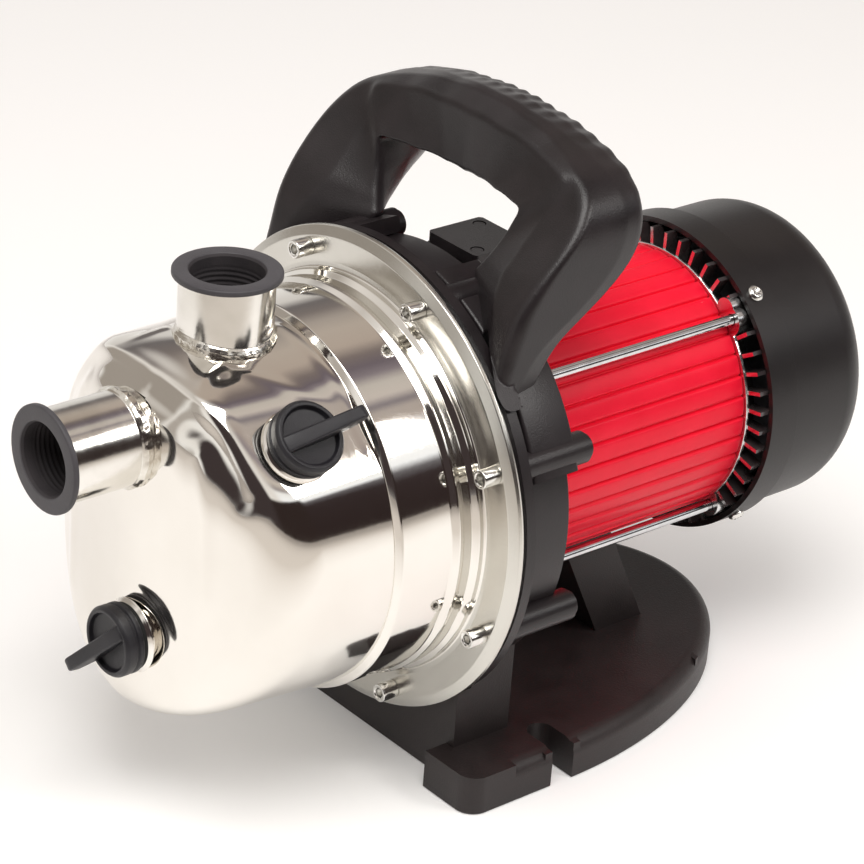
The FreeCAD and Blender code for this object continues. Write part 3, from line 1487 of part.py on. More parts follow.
# ------------------------------------------------------------------ finish
doc.recompute()
faulty = [obj.Name for obj in doc.Objects if "Invalid" in obj.State or "Error" in obj.State]
if faulty:
    raise RuntimeError(f"objects not built: {faulty}")
os.makedirs("parts", exist_ok=True)
for part in sub_parts:
    if part.Shape.isNull() or not part.Shape.isValid():
        raise RuntimeError(f"{part.Label} has no valid shape")
    part.Shape.exportStep(f"parts/{part.Label}.step")
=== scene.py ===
import json
import math
import bpy
import bmesh
import numpy as np
from mathutils import Matrix, Vector

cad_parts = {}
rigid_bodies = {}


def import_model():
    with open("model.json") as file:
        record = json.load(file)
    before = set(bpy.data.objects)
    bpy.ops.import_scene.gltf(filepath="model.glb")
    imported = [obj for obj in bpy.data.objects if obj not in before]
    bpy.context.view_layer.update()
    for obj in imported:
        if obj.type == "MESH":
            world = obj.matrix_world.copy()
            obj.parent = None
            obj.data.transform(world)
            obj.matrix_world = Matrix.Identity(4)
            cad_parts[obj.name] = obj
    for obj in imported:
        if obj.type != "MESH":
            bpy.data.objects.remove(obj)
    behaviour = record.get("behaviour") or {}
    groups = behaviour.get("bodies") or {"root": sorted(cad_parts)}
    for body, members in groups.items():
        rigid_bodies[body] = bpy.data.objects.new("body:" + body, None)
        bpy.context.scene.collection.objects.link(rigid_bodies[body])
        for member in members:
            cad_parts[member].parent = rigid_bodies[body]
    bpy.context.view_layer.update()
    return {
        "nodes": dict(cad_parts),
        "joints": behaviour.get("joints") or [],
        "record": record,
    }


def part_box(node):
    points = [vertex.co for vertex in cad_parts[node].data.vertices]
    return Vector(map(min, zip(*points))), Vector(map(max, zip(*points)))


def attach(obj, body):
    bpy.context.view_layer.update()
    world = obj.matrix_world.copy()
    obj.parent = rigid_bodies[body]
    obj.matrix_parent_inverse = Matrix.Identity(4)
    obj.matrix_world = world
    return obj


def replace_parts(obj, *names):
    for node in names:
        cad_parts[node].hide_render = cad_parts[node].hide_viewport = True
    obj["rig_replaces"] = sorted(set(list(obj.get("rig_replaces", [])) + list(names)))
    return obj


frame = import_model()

MM = 0.001
RECORD = frame["record"]
SHAFT_Z = [j for j in frame["joints"] if j["name"] == "shaft_spin"][0]["pos_m"][2] / MM
RIM_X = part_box("pump_casing")[1].x / MM - 2.0        # rim plane of the casing flange
FRONT_X = -125.0                                     # casing front, from the rim plane
NODES = frame["nodes"]

# Every shape is drawn in millimetres from the shaft axis and the rim plane of the casing
# flange: X toward the motor, Z up, the fill plug on the -Y side.


def place(points):
    """Millimetres from the shaft axis and the flange rim to metres in the row frame."""
    p = np.asarray(points, float).reshape(-1, 3)
    return (p + np.array([RIM_X, 0.0, SHAFT_Z])) * MM


# ---------------------------------------------------------------- materials
def material(name, base, dark, metallic=0.0, rough=(0.3, 0.4), grain=40.0, bump=0.05, fine=900.0,
             stretch=(1, 1, 1), specular=0.5, coat=0.0, coat_rough=0.1):
    """Colour that wanders between two shades, uneven gloss and fine relief."""
    m = bpy.data.materials.new(name)
    m.use_nodes = True
    tree = m.node_tree
    new, link = tree.nodes.new, tree.links.new
    shader = tree.nodes["Principled BSDF"]
    coords = new("ShaderNodeTexCoord")
    mapping = new("ShaderNodeMapping")
    mapping.inputs["Scale"].default_value = stretch
    link(coords.outputs["Object"], mapping.inputs["Vector"])
    wander = new("ShaderNodeTexNoise")
    wander.inputs["Scale"].default_value = grain
    wander.inputs["Detail"].default_value = 6.0
    link(mapping.outputs["Vector"], wander.inputs["Vector"])
    ramp = new("ShaderNodeValToRGB")
    ramp.color_ramp.elements[0].position = 0.3
    ramp.color_ramp.elements[1].position = 0.7
    ramp.color_ramp.elements[0].color = (*dark, 1)
    ramp.color_ramp.elements[1].color = (*base, 1)
    link(wander.outputs["Fac"], ramp.inputs["Fac"])
    link(ramp.outputs["Color"], shader.inputs["Base Color"])
    speck = new("ShaderNodeTexNoise")
    speck.inputs["Scale"].default_value = fine
    speck.inputs["Detail"].default_value = 3.0
    link(mapping.outputs["Vector"], speck.inputs["Vector"])
    gloss = new("ShaderNodeMapRange")
    gloss.inputs["From Min"].default_value = 0.3
    gloss.inputs["From Max"].default_value = 0.7
    gloss.inputs["To Min"].default_value = rough[0]
    gloss.inputs["To Max"].default_value = rough[1]
    blend = new("ShaderNodeMix")
    blend.inputs["Factor"].default_value = 0.5
    link(wander.outputs["Fac"], blend.inputs["A"])
    link(speck.outputs["Fac"], blend.inputs["B"])
    link(blend.outputs["Result"], gloss.inputs["Value"])
    link(gloss.outputs["Result"], shader.inputs["Roughness"])
    relief = new("ShaderNodeBump")
    relief.inputs["Strength"].default_value = bump
    relief.inputs["Distance"].default_value = 0.0004
    link(speck.outputs["Fac"], relief.inputs["Height"])
    link(relief.outputs["Normal"], shader.inputs["Normal"])
    shader.inputs["Metallic"].default_value = metallic
    shader.inputs["Specular IOR Level"].default_value = specular
    shader.inputs["Coat Weight"].default_value = coat
    shader.inputs["Coat Roughness"].default_value = coat_rough
    return m


MAT = {
    "polished": material("polished_steel", (0.84, 0.815, 0.77), (0.78, 0.75, 0.70), 1.0,
                         (0.05, 0.10), 18.0, 0.012, 500.0),
    "brushed": material("brushed_steel", (0.66, 0.645, 0.60), (0.61, 0.595, 0.55), 1.0,
                        (0.20, 0.27), 30.0, 0.03, 600.0),
    "tube": material("drawn_steel", (0.84, 0.82, 0.78), (0.70, 0.68, 0.63), 1.0,
                     (0.10, 0.20), 50.0, 0.05, 420.0),
    "weld": material("weld_steel", (0.84, 0.82, 0.77), (0.58, 0.54, 0.47), 1.0,
                     (0.10, 0.24), 130.0, 0.20, 700.0),
    "screw": material("bright_screw", (0.86, 0.85, 0.82), (0.66, 0.65, 0.62), 1.0,
                      (0.12, 0.24), 200.0, 0.08, 900.0),
    "rod": material("zinc_rod", (0.72, 0.73, 0.74), (0.58, 0.59, 0.60), 1.0,
                    (0.10, 0.18), 160.0, 0.03, 800.0),
    "black": material("black_plastic", (0.018, 0.0135, 0.0150), (0.0115, 0.0088, 0.0098), 0.0,
                      (0.27, 0.40), 60.0, 0.25, 1500.0, specular=0.42),
    "foot": material("foot_plastic", (0.026, 0.0195, 0.0195), (0.017, 0.0125, 0.0125), 0.0,
                     (0.38, 0.52), 60.0, 0.30, 1300.0, specular=0.36),
    "cap": material("plug_plastic", (0.018, 0.017, 0.021), (0.011, 0.010, 0.013), 0.0,
                    (0.34, 0.48), 120.0, 0.35, 2200.0, specular=0.42),
    "port": material("port_plastic", (0.070, 0.066, 0.073), (0.054, 0.050, 0.056), 0.0,
                     (0.42, 0.55), 90.0, 0.30, 1800.0, specular=0.4),
    # bore: same plastic as the insert, darker and duller as painted shade in the deep hole
    "bore": material("port_bore_painted_shade", (0.055, 0.049, 0.052), (0.042, 0.038, 0.041), 0.0,
                     (0.55, 0.70), 90.0, 0.20, 1800.0, specular=0.15),
    "red": material("red_paint", (0.90, 0.008, 0.036), (0.82, 0.006, 0.028), 0.0,
                    (0.34, 0.46), 60.0, 0.10, 1400.0, specular=0.22, coat=0.05),
    "cover": material("cover_black", (0.0125, 0.0098, 0.0102), (0.0085, 0.0068, 0.0070), 0.0,
                      (0.34, 0.44), 45.0, 0.10, 1100.0, specular=0.36, coat=0.08, coat_rough=0.3),
    "casting": material("cast_aluminium", (0.55, 0.55, 0.55), (0.38, 0.38, 0.38), 1.0,
                        (0.32, 0.50), 140.0, 0.25, 900.0),
    "casting_bright": material("machined_aluminium", (0.80, 0.80, 0.80), (0.62, 0.62, 0.62), 1.0,
                               (0.14, 0.26), 90.0, 0.08, 900.0),
    # fin flanks: a dark finish with painted shade between the fins
    "fin_flank_shade": material("shield_fins_painted_shade", (0.050, 0.040, 0.041), (0.026, 0.021, 0.022), 0.0,
                         (0.16, 0.28), 140.0, 0.12, 900.0, specular=0.6, coat=0.4),
    "rubber": material("rubber", (0.012, 0.012, 0.012), (0.007, 0.007, 0.007), 0.0,
                       (0.60, 0.75), 90.0, 0.3, 1500.0, specular=0.3),
    "steel": material("ground_steel", (0.60, 0.60, 0.61), (0.46, 0.46, 0.47), 1.0,
                      (0.18, 0.32), 120.0, 0.08, 900.0),
    "laminate": material("laminations", (0.20, 0.20, 0.22), (0.12, 0.12, 0.13), 0.8,
                         (0.35, 0.50), 60.0, 0.4, 3000.0, stretch=(6, 1, 1)),
    "copper": material("copper_wire", (0.62, 0.24, 0.10), (0.42, 0.14, 0.06), 0.9,
                       (0.25, 0.40), 80.0, 0.4, 2500.0, stretch=(1, 4, 4)),
    "hydraulic": material("hydraulic_plastic", (0.55, 0.52, 0.44), (0.44, 0.41, 0.34), 0.0,
                          (0.35, 0.48), 60.0, 0.15, 1200.0),
    "seal": material("seal_ceramic", (0.72, 0.70, 0.66), (0.60, 0.58, 0.54), 0.0,
                     (0.14, 0.24), 60.0, 0.05, 1200.0),
    "inner": material("inner_plastic", (0.10, 0.10, 0.11), (0.07, 0.07, 0.075), 0.0,
                      (0.40, 0.55), 60.0, 0.2, 1200.0),
}
SLOT_LOOK = {
    "stainless": "brushed", "bright_screw": "screw", "body_plastic": "black", "port_plastic": "port",
    "red_paint": "red", "cast_aluminium": "casting", "cover_black": "cover", "rubber": "rubber",
    "steel": "steel", "laminations": "laminate", "copper": "copper",
    "hydraulic_plastic": "hydraulic", "seal_face": "seal", "inner_plastic": "inner",
}
NODE_SLOT = {s["node"]: s["material_slot"] for s in RECORD["subparts"]}
NODE_BODY = {n: b for b, members in RECORD["behaviour"]["bodies"].items() for n in members}


# ---------------------------------------------------------------- mesh helpers
def finish_mesh(name, bm, look, nodes, sharp):
    """Smooth-shaded piece of one look that stands for CAD nodes and rides on their body."""
    mesh = bpy.data.meshes.new(name)
    bm.to_mesh(mesh)
    bm.free()
    for polygon in mesh.polygons:
        polygon.use_smooth = True
    mesh.set_sharp_from_angle(angle=math.radians(sharp))
    obj = bpy.data.objects.new(name, mesh)
    bpy.context.scene.collection.objects.link(obj)
    mesh.materials.append(MAT[look])
    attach(obj, NODE_BODY[nodes[0]])
    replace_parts(obj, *nodes)
    return obj


def paint(obj, look, chosen):
    """Gives a second look to the faces whose centre and normal are chosen."""
    obj.data.materials.append(MAT[look])
    for polygon in obj.data.polygons:
        if chosen(polygon.center, polygon.normal):
            polygon.material_index = 1


def join_into(bm, part):
    """Moves the faces of one bmesh into another."""
    mesh = bpy.data.meshes.new("part")
    part.to_mesh(mesh)
    part.free()
    bm.from_mesh(mesh)
    bpy.data.meshes.remove(mesh)


def from_grids(grids):
    """One bmesh from several grids: each (points[n, m, 3] in mm, closed_n, closed_m)."""
    bm = bmesh.new()
    for points, wrap_n, wrap_m in grids:
        n, m = points.shape[:2]
        verts = [bm.verts.new(v) for v in place(points)]
        for i in range(n if wrap_n else n - 1):
            for j in range(m if wrap_m else m - 1):
                a, b = i * m + j, i * m + (j + 1) % m
                c, d = ((i + 1) % n) * m + (j + 1) % m, ((i + 1) % n) * m + j
                bm.faces.new((verts[a], verts[b], verts[c], verts[d]))
    return bm


def clean(bm, gap=0.002):
    """Welds points within gap millimetres and turns the faces outward."""
    bmesh.ops.remove_doubles(bm, verts=bm.verts, dist=gap * MM)
    bmesh.ops.dissolve_degenerate(bm, edges=bm.edges, dist=gap * MM)
    bmesh.ops.recalc_face_normals(bm, faces=bm.faces)
    return bm


def rounded(points, steps=5):
    """Polyline of (a, b, radius) with each corner turned into an arc."""
    pts = [np.array(p[:2], float) for p in points]
    radii = [p[2] if len(p) > 2 else 0.0 for p in points]
    out = [pts[0]]
    for i in range(1, len(pts) - 1):
        p, before, after = pts[i], pts[i - 1] - pts[i], pts[i + 1] - pts[i]
        la, lb = np.linalg.norm(before), np.linalg.norm(after)
        if radii[i] <= 0 or la < 1e-6 or lb < 1e-6:
            out.append(p)
            continue
        u, v = before / la, after / lb
        half = math.acos(np.clip(u @ v, -1, 1)) / 2
        if half > 1.55 or half < 0.02:
            out.append(p)
            continue
        reach = min(radii[i] / math.tan(half), 0.49 * la, 0.49 * lb)
        radius = reach * math.tan(half)
        centre = p + (u + v) / np.linalg.norm(u + v) * math.hypot(reach, radius)
        start, end = p + u * reach - centre, p + v * reach - centre
        sweep = math.pi - 2 * half
        for k in range(steps + 1):
            t = k / steps
            out.append(centre + (math.sin((1 - t) * sweep) * start
                                 + math.sin(t * sweep) * end) / math.sin(sweep))
    out.append(pts[-1])
    return np.array(out)


def axes_for(direction):
    """Unit vector along a direction and two across it."""
    x = np.array(direction, float)
    x = x / np.linalg.norm(x)
    helper = np.array([0, 0, 1.0]) if abs(x[2]) < 0.9 else np.array([0, 1.0, 0])
    y = np.cross(helper, x)
    y = y / np.linalg.norm(y)
    return x, y, np.cross(x, y)


def lathe_grid(profile, origin=(0, 0, 0), direction=(1, 0, 0), turns=160, ripple=None):
    """Grid of a profile of (along, reach) turned about an axis, for from_grids."""
    x, y, z = axes_for(direction)
    spin = np.linspace(0, 2 * math.pi, turns, endpoint=False)
    a, r = profile[:, 0][None, :, None], profile[:, 1][None, :, None]
    c, s = np.cos(spin)[:, None, None], np.sin(spin)[:, None, None]
    if ripple is not None:
        r = r + ripple(spin[:, None], profile[None, :, :])[..., None]
    grid = np.array(origin, float) + x * a + (y * c + z * s) * r
    return grid, True, False


def smax(a, b, k):
    """Larger of two fields, with a fillet where they are within k of each other."""
    h = np.clip(k - np.abs(a - b), 0, None) / k
    return np.maximum(a, b) + h * h * k * 0.25


def eased(path, parts=8):
    """Smooth curve through a few points."""
    pts = np.array(path, float)
    pts = np.concatenate([[2 * pts[0] - pts[1]], pts, [2 * pts[-1] - pts[-2]]])
    out = [pts[1]]
    for k in range(1, len(pts) - 2):
        a, b, c, d = pts[k - 1:k + 3]
        for t in np.linspace(0, 1, parts + 1)[1:]:
            out.append(0.5 * (2 * b + (c - a) * t + (2 * a - 5 * b + 4 * c - d) * t ** 2
                              + (3 * b - a - 3 * c + d) * t ** 3))
    return np.array(out)


def to_path(p, path):
    """Distance from points to a curve and how far along it is; the far side mirrors the near."""
    middle_blend = 3.0
    q = p.copy()
    q[:, 1] = -np.sqrt(q[:, 1] ** 2 + middle_blend ** 2)
    path = eased(path)
    best = np.full(len(q), 1e9)
    along = np.zeros(len(q))
    for k in range(len(path) - 1):
        a, b = path[k], path[k + 1]
        d = b - a
        t = np.clip((q - a) @ d / (d @ d), 0, 1)
        gap = np.linalg.norm(q - a - t[:, None] * d, axis=1)
        nearer = gap < best
        best[nearer] = gap[nearer]
        along[nearer] = (k + t[nearer]) / (len(path) - 1)
    return best, along


def refine(name, node, look, bevel, segments, angle):
    """The node's own shape with its edges sharper than an angle broken by a bevel."""
    weld, flat = 0.1, math.radians(0.6)
    bm = bmesh.new()
    bm.from_mesh(NODES[node].data)
    bmesh.ops.remove_doubles(bm, verts=bm.verts, dist=weld * MM)
    bmesh.ops.dissolve_limit(bm, angle_limit=flat, verts=bm.verts, edges=bm.edges)
    limit = math.radians(angle)
    edges = [e for e in bm.edges if e.is_manifold and e.calc_face_angle(0) > limit]
    bmesh.ops.bevel(bm, geom=edges, offset=bevel * MM, offset_type="OFFSET", segments=segments,
                    profile=0.5, affect="EDGES", clamp_overlap=True)
    bmesh.ops.recalc_face_normals(bm, faces=bm.faces)
    obj = finish_mesh(name, bm, look, [node], 30.0)
    normals = obj.modifiers.new("normals", "WEIGHTED_NORMAL")
    normals.keep_sharp = True
    return obj


# ---------------------------------------------------------------- casing
SHOULDER_X = -46.0                                   # where the drawn front meets the drum
DRUM_R, DRUM_TAPER, DRUM_LIFT = 83.0, 2.6, 2.5       # radius, and what it loses and rises
FRONT_HALF, CHEEK_WIDE, CHEEK_RUN = 34.0, 49, 28     # flat front and the cheeks beside it
PANEL, PANEL_FLARE, PANEL_X = 80.0, 1.3, -107.0      # sloped panels, measured on the diagonal


def sloped(x, across, through, normal):
    """Signed distance from a plane given by a point and a normal in (x, across)."""
    return normal[0] * (x - through[0]) + normal[1] * (across - through[1])


def casing_field(p):
    """Negative inside the drawn front of the casing."""
    x, y, z = p[:, 0], p[:, 1], p[:, 2]
    forward = np.clip((x - SHOULDER_X) / (FRONT_X - SHOULDER_X), 0, 1)
    drum = np.hypot(y, z - DRUM_LIFT * forward) - (DRUM_R - DRUM_TAPER * forward)
    plane = FRONT_X - x
    side = np.abs(y)
    cheek = sloped(x, side, (FRONT_X, FRONT_HALF), (-CHEEK_WIDE, CHEEK_RUN))
    cheek = cheek / math.hypot(CHEEK_WIDE, CHEEK_RUN)
    diagonal = (side + z) / math.sqrt(2)
    panel = diagonal - PANEL - PANEL_FLARE * np.clip((x - PANEL_X) / (SHOULDER_X - PANEL_X), 0, 1)
    facet = sloped(x, diagonal, (-108, 79), (-0.646, 0.763))
    brow = sloped(x, z, (-108, 78), (-0.62, 0.785))
    body = smax(drum, panel, 1.6)
    body = smax(body, brow, 9.0)
    body = smax(body, facet, 4.0)
    body = smax(body, smax(plane, cheek, 20.0), 15.0)
    return body


RIDGE_C = [(-90, -20, 82), (-99, -22, 79), (-108, -27, 72.5)]
RIDGE_B = [(-90, -20, 81.5), (-80, -31, 78), (-68, -42, 72), (-58, -48, 68)]
CREST_A = [(-112, 0, 76), (-112, -22, 75), (-110, -35, 72), (-108, -47, 65), (-107, -56, 56.5),
           (-106.5, -64, 48)]
TRENCH = [(-118, -8, 71), (-116, -26, 68), (-113, -42, 61.5), (-112, -54, 52), (-111, -62, 42)]
BEAD = [(-116, -37, 62), (-118.5, -44, 50), (-119, -46, 20), (-119, -46, -40)]
REAR_EDGE = [(-52, -8, 82), (-50.5, -33, 75), (-50, -52, 61), (-49, -66, 49.5)]
RELIEF = [
    # course, height, half width, strength at its start, change of strength along it
    (RIDGE_C, 0.7, 2.2, 1.2, -1),
    (RIDGE_B, 0.40, 3.4, 1.25, -1),
    (CREST_A, 0.8, 3.2, 1, 0),
    (TRENCH, -1.5, 5.4, 1, 0),
    (BEAD, 1.1, 5.0, 0, 6),
    (REAR_EDGE, 0.6, 2.6, 1, 0),
]
DRAIN_SPOT = (FRONT_X, -11.0, -38.0)


def casing_relief(p):
    """Height of the pressed ridges over points of the casing."""
    move = np.zeros(len(p))
    for path, height, width, start, change in RELIEF:
        gap, along = to_path(p, path)
        move += height * np.exp(-(gap / width) ** 2) * np.clip(start + change * along, 0, 1)
    q = p - np.array(DRAIN_SPOT)
    r = np.hypot(q[:, 1], q[:, 2])
    arc = np.exp(-((r - 23.0) / 2.2) ** 2) * np.clip(q[:, 2] / 12.0, 0, 1) * (p[:, 0] < -110)
    return move - 0.25 * arc


def pot_skin():
    """Grid of the casing's front: the skin found along rays that fan out from inside it."""
    turns, steps = 420, 250
    fan_x, fan_share, run = -92.0, 0.62, 46.6        # rays fan out at fan_x, then run back square
    spin = np.linspace(0, 2 * math.pi, turns, endpoint=False)
    t = np.linspace(0, 1, steps)
    lean = np.clip(t / fan_share, 0, 1) * math.pi / 2
    start = np.where(t > fan_share, fan_x + (t - fan_share) / (1 - fan_share) * run, fan_x)
    c, s = np.cos(spin)[:, None], np.sin(spin)[:, None]
    direction = np.stack([np.broadcast_to(-np.cos(lean), (turns, steps)),
                          np.sin(lean) * c, np.sin(lean) * s], -1).reshape(-1, 3)
    origin = np.stack([np.broadcast_to(start, (turns, steps)),
                       np.zeros((turns, steps)), np.full((turns, steps), 2.0)], -1).reshape(-1, 3)
    low, high = np.zeros(len(origin)), np.full(len(origin), 120.0)
    for _ in range(34):
        mid = (low + high) / 2
        inside = casing_field(origin + direction * mid[:, None]) < 0
        low = np.where(inside, mid, low)
        high = np.where(inside, high, mid)
    hit = origin + direction * low[:, None]
    steps_apart = np.eye(3) * 0.05
    gradient = np.stack([casing_field(hit + step) - casing_field(hit - step)
                         for step in steps_apart], -1)
    gradient /= np.linalg.norm(gradient, axis=1)[:, None]
    hit = hit + gradient * casing_relief(hit)[:, None]
    return hit.reshape(turns, steps, 3)


def cut_round(bm, centre, direction, radius, depth):
    """Opens a round hole where a socket or plug neck goes through."""
    c = place([centre])[0]
    d = np.array(direction, float)
    gone = []
    for face in bm.faces:
        q = np.array(face.calc_center_median()) - c
        h = q @ d
        if abs(h) < depth * MM and np.linalg.norm(q - h * d) < radius * MM:
            gone.append(face)
    bmesh.ops.delete(bm, geom=gone, context="FACES")


H = math.sqrt(0.5)
INLET_Z, OUTLET_X = 48.7, -74.6
PORTS = {
    # middle of the port's face, direction into the casing, length up to the weld
    "inlet": ((-162.85, 0, INLET_Z), (1, 0, 0), 37.85),
    "outlet": ((OUTLET_X, 0, 111.4), (0, 0, -1), 27.9),
}
# seat of each plug and the direction it comes out
FILL = ((-80.0, -79 * H, 79 * H), (0, -H, H))
DRAIN = (DRAIN_SPOT, (-1, 0, 0))
PORT_HOLE, PLUG_HOLE = (18.9, 14), (11.4, 12)

pot = clean(from_grids([(pot_skin(), True, False)]))
cut_round(pot, (FRONT_X, 0, INLET_Z), (1, 0, 0), *PORT_HOLE)
cut_round(pot, (OUTLET_X, 0, 83), (0, 0, 1), *PORT_HOLE)
cut_round(pot, *FILL, *PLUG_HOLE)
cut_round(pot, *DRAIN, *PLUG_HOLE)
bmesh.ops.recalc_face_normals(pot, faces=pot.faces)
finish_mesh("casing_pot", pot, "polished", ["pump_casing"], 60)

drum_profile = rounded([
    (-44.6, 74.5), (-46.4, 76.5, 0.6), (-46.4, 83.3, 1.2), (-44.4, 86.0, 1.4), (-18.4, 86.0, 2.0),
    (-15.4, 87.9, 1.5), (-12.4, 86.9, 1.8), (-8.6, 87.2, 1.2), (-6.2, 89.3, 1.4), (-3.4, 89.2, 1.4),
    (-2.9, 92.0, 1.5), (-2.9, 103.2, 1.6), (-0.5, 107.4, 0.8), (0.9, 107.75, 0.4), (1.95, 107.4, 0.3),
    (1.95, 89.0)], 6)
drum = from_grids([lathe_grid(drum_profile, turns=288)])
drum_obj = finish_mesh("casing_drum", clean(drum), "polished", ["pump_casing"], 50)
FLAT_RING_R = 90.2
paint(drum_obj, "brushed", lambda c, n: math.hypot(c.y, c.z - SHAFT_Z * MM) > FLAT_RING_R * MM)


# ---------------------------------------------------------------- ports
def lumpy(spin, profile):
    """Uneven reach of a weld bead, where the profile stands proud of the tube."""
    a, r = profile[..., 0], profile[..., 1]
    outer = np.clip((r - 20.2) / 1.0, 0, 1)
    return outer * (0.20 * np.sin(spin * 11 + 2.1 * np.sin(3 * spin)) * np.sin(a * 0.9 + spin * 5)
                    + 0.14 * np.sin(spin * 19 + 1.3) + 0.07 * np.sin(spin * 37 + a))


def insert_grid(origin, direction):
    """Flanged plastic insert with a helical pipe thread in its bore."""
    outside = rounded([(24.0, 16.2, 0), (24.0, 17.5, 0.4), (2.6, 17.5, 0.2), (2.5, 22.9, 0.5),
                       (0.0, 22.9, 0.9), (0.0, 16.3, 0.8), (1.4, 15.4, 0.2), (1.8, 15.4)], 5)
    grids = [lathe_grid(outside, origin, direction, 144)]
    x, y, z = axes_for(direction)
    pitch = 2.309
    spin = np.linspace(0, 2 * math.pi, 144, endpoint=False)
    along = np.linspace(1.8, 24.0, 112)
    phase = (along[None, :] - pitch * spin[:, None] / (2 * math.pi)) * 2 * math.pi / pitch
    deep = np.clip((along[None, :] - 5.0) / 4.0, 0, 1)
    deep = deep * np.clip((24.0 - along[None, :]) / 2.0, 0, 1)
    reach = 15.4 + 0.3 * deep * (0.5 + 0.5 * np.sin(phase))
    reach = reach + (16.2 - 15.4) * np.clip((along[None, :] - 23.0), 0, 1)
    grid = (np.array(origin, float) + x * along[None, :, None]
            + (y * np.cos(spin)[:, None, None] + z * np.sin(spin)[:, None, None]) * reach[..., None])
    grids.append((grid, True, False))
    return grids


for port, (origin, direction, face) in PORTS.items():
    tube_profile = rounded([
        (face + 5.5, 18.05), (2.55, 18.05, 0.2), (2.55, 20.0, 0.3), (face - 3.4, 20.0, 0.5),
        (face - 2.7, 20.7, 0.4), (face - 1.4, 21.5, 0.8), (face + 0.9, 21.5, 0.9),
        (face + 2.2, 20.3, 0.6), (face + 5.5, 20.0)], 5)
    tube_grid, around, ends = lathe_grid(tube_profile, origin, direction, 240, ripple=lumpy)
    if port == "outlet":
        # the foot of the vertical tube follows the round of the drum
        drum_r = 81.7
        reach_y = np.minimum(np.abs(tube_grid[..., 1]), 30.0)
        low = np.clip((origin[2] - tube_grid[..., 2] - (face - 7.0)) / 3.0, 0, 1)
        tube_grid[..., 2] -= low * (drum_r - np.sqrt(drum_r ** 2 - reach_y ** 2))
    tube = from_grids([(tube_grid, around, ends)])
    piece = finish_mesh(port + "_tube", clean(tube), "tube", [port + "_socket"], 40)
    mouth, x = place([origin])[0], np.array(direction, float)
    paint(piece, "weld", lambda c, n: (np.array(c) - mouth) @ x > (face - 3.2) * MM)
    sleeve = from_grids(insert_grid(origin, direction))
    sleeve_obj = finish_mesh(port + "_sleeve", clean(sleeve), "port", [port + "_insert"],
                             35)
    # painted shade: the bore inside the mouth gets the darker, duller plastic
    paint(sleeve_obj, "bore", lambda c, n: (np.array(c) - mouth) @ x > 0.6 * MM
          and np.linalg.norm(np.cross(np.array(c) - mouth, x)) < 16.0 * MM)


# ---------------------------------------------------------------- winged plugs
def plug(name, spot, out, along, rise, turn, node):
    """Round cap with a groove, a sunk face and one long wing across it."""
    out, along = np.array(out, float), np.array(along, float)
    side = np.cross(out, along)
    t = math.radians(turn)
    along, side = along * math.cos(t) + side * math.sin(t), side * math.cos(t) - along * math.sin(t)
    under = rise + 2.0
    top = under + 8.5
    cap = rounded([(rise - 10.0, 0.01), (rise - 10.0, 9.0, 0.5), (rise - 9.0, 9.9, 0.5),
                   (under - 0.02, 9.9), (under, 15.4, 0.5), (under + 2.1, 15.4, 0.5),
                   (under + 2.6, 14.6, 0.3), (under + 3.2, 14.6, 0.3), (under + 3.7, 15.4, 0.6),
                   (top - 1.0, 15.4, 1.3), (top + 0.5, 14.2, 0.9), (top + 0.3, 12.7, 0.6),
                   (top - 1.7, 11.9, 0.9), (top - 2.0, 0.01)], 4)
    spin = np.linspace(0, 2 * math.pi, 128, endpoint=False)
    c, s = np.cos(spin)[:, None, None], np.sin(spin)[:, None, None]
    base = np.array(spot, float)
    grid = (base + out * cap[None, :, 0:1] + (along * c + side * s) * cap[None, :, 1:2])
    bm = from_grids([(grid, True, False)])
    clean(bm)

    def slab(outline, half, taper, edge):
        """Outline of (along, out) extruded to both sides, thinner at the crest, edges broken."""
        part = bmesh.new()
        rings = []
        for sign in (-1, 1):
            ring = []
            for a, o in outline:
                w = sign * (half - taper * np.clip((o - top) / 9.0, 0, 1))
                ring.append(part.verts.new(place([base + along * a + out * o + side * w])[0]))
            rings.append(ring)
        n = len(outline)
        part.faces.new(rings[0])
        part.faces.new(rings[1][::-1])
        for k in range(n):
            part.faces.new((rings[0][k], rings[1][k], rings[1][(k + 1) % n], rings[0][(k + 1) % n]))
        bmesh.ops.recalc_face_normals(part, faces=part.faces)
        bmesh.ops.bevel(part, geom=part.edges[:], offset=edge * MM, segments=3, profile=0.5,
                        affect="EDGES", clamp_overlap=True)
        return part

    wing = slab([(-13.6, top - 2.2), (-13.6, top + 0.9), (-6, top + 2.8), (6, top + 5.2),
                 (16, top + 7.6), (21.5, top + 8.9), (24.2, top + 8.2), (24.2, top + 3.4),
                 (20, top + 1.2), (14.2, top - 2.2)], 3.5, 0.8, 1.0)
    join_into(bm, wing)
    finish_mesh(name, bm, "cap", [node], 40)


FILL_RISE, DRAIN_RISE = 3.5, 1.5
plug("fill_cap_winged", *FILL, (1, 0, 0), FILL_RISE, 4, "fill_plug")
plug("drain_cap_winged", *DRAIN, (0, H, -H), DRAIN_RISE, 0, "drain_plug")


def boss(name, spot, out, rise, node):
    """Ring that a plug screws into, proud of the casing by its rise."""
    ring = rounded([(-8.9, 10.5), (-8.9, 12.9), (0.0, 13.0, 0), (-0.6, 16.6, 2.0), (rise - 0.9, 15.2, 0.9),
                    (rise, 14.3, 0.5), (rise, 10.5), (-8.9, 10.5)], 5)
    bm = from_grids([lathe_grid(ring, spot, out, 128)])
    finish_mesh(name, clean(bm), "polished", [node], 40)


boss("fill_seat", *FILL, FILL_RISE, "fill_boss")
boss("drain_seat", *DRAIN, DRAIN_RISE, "drain_boss")


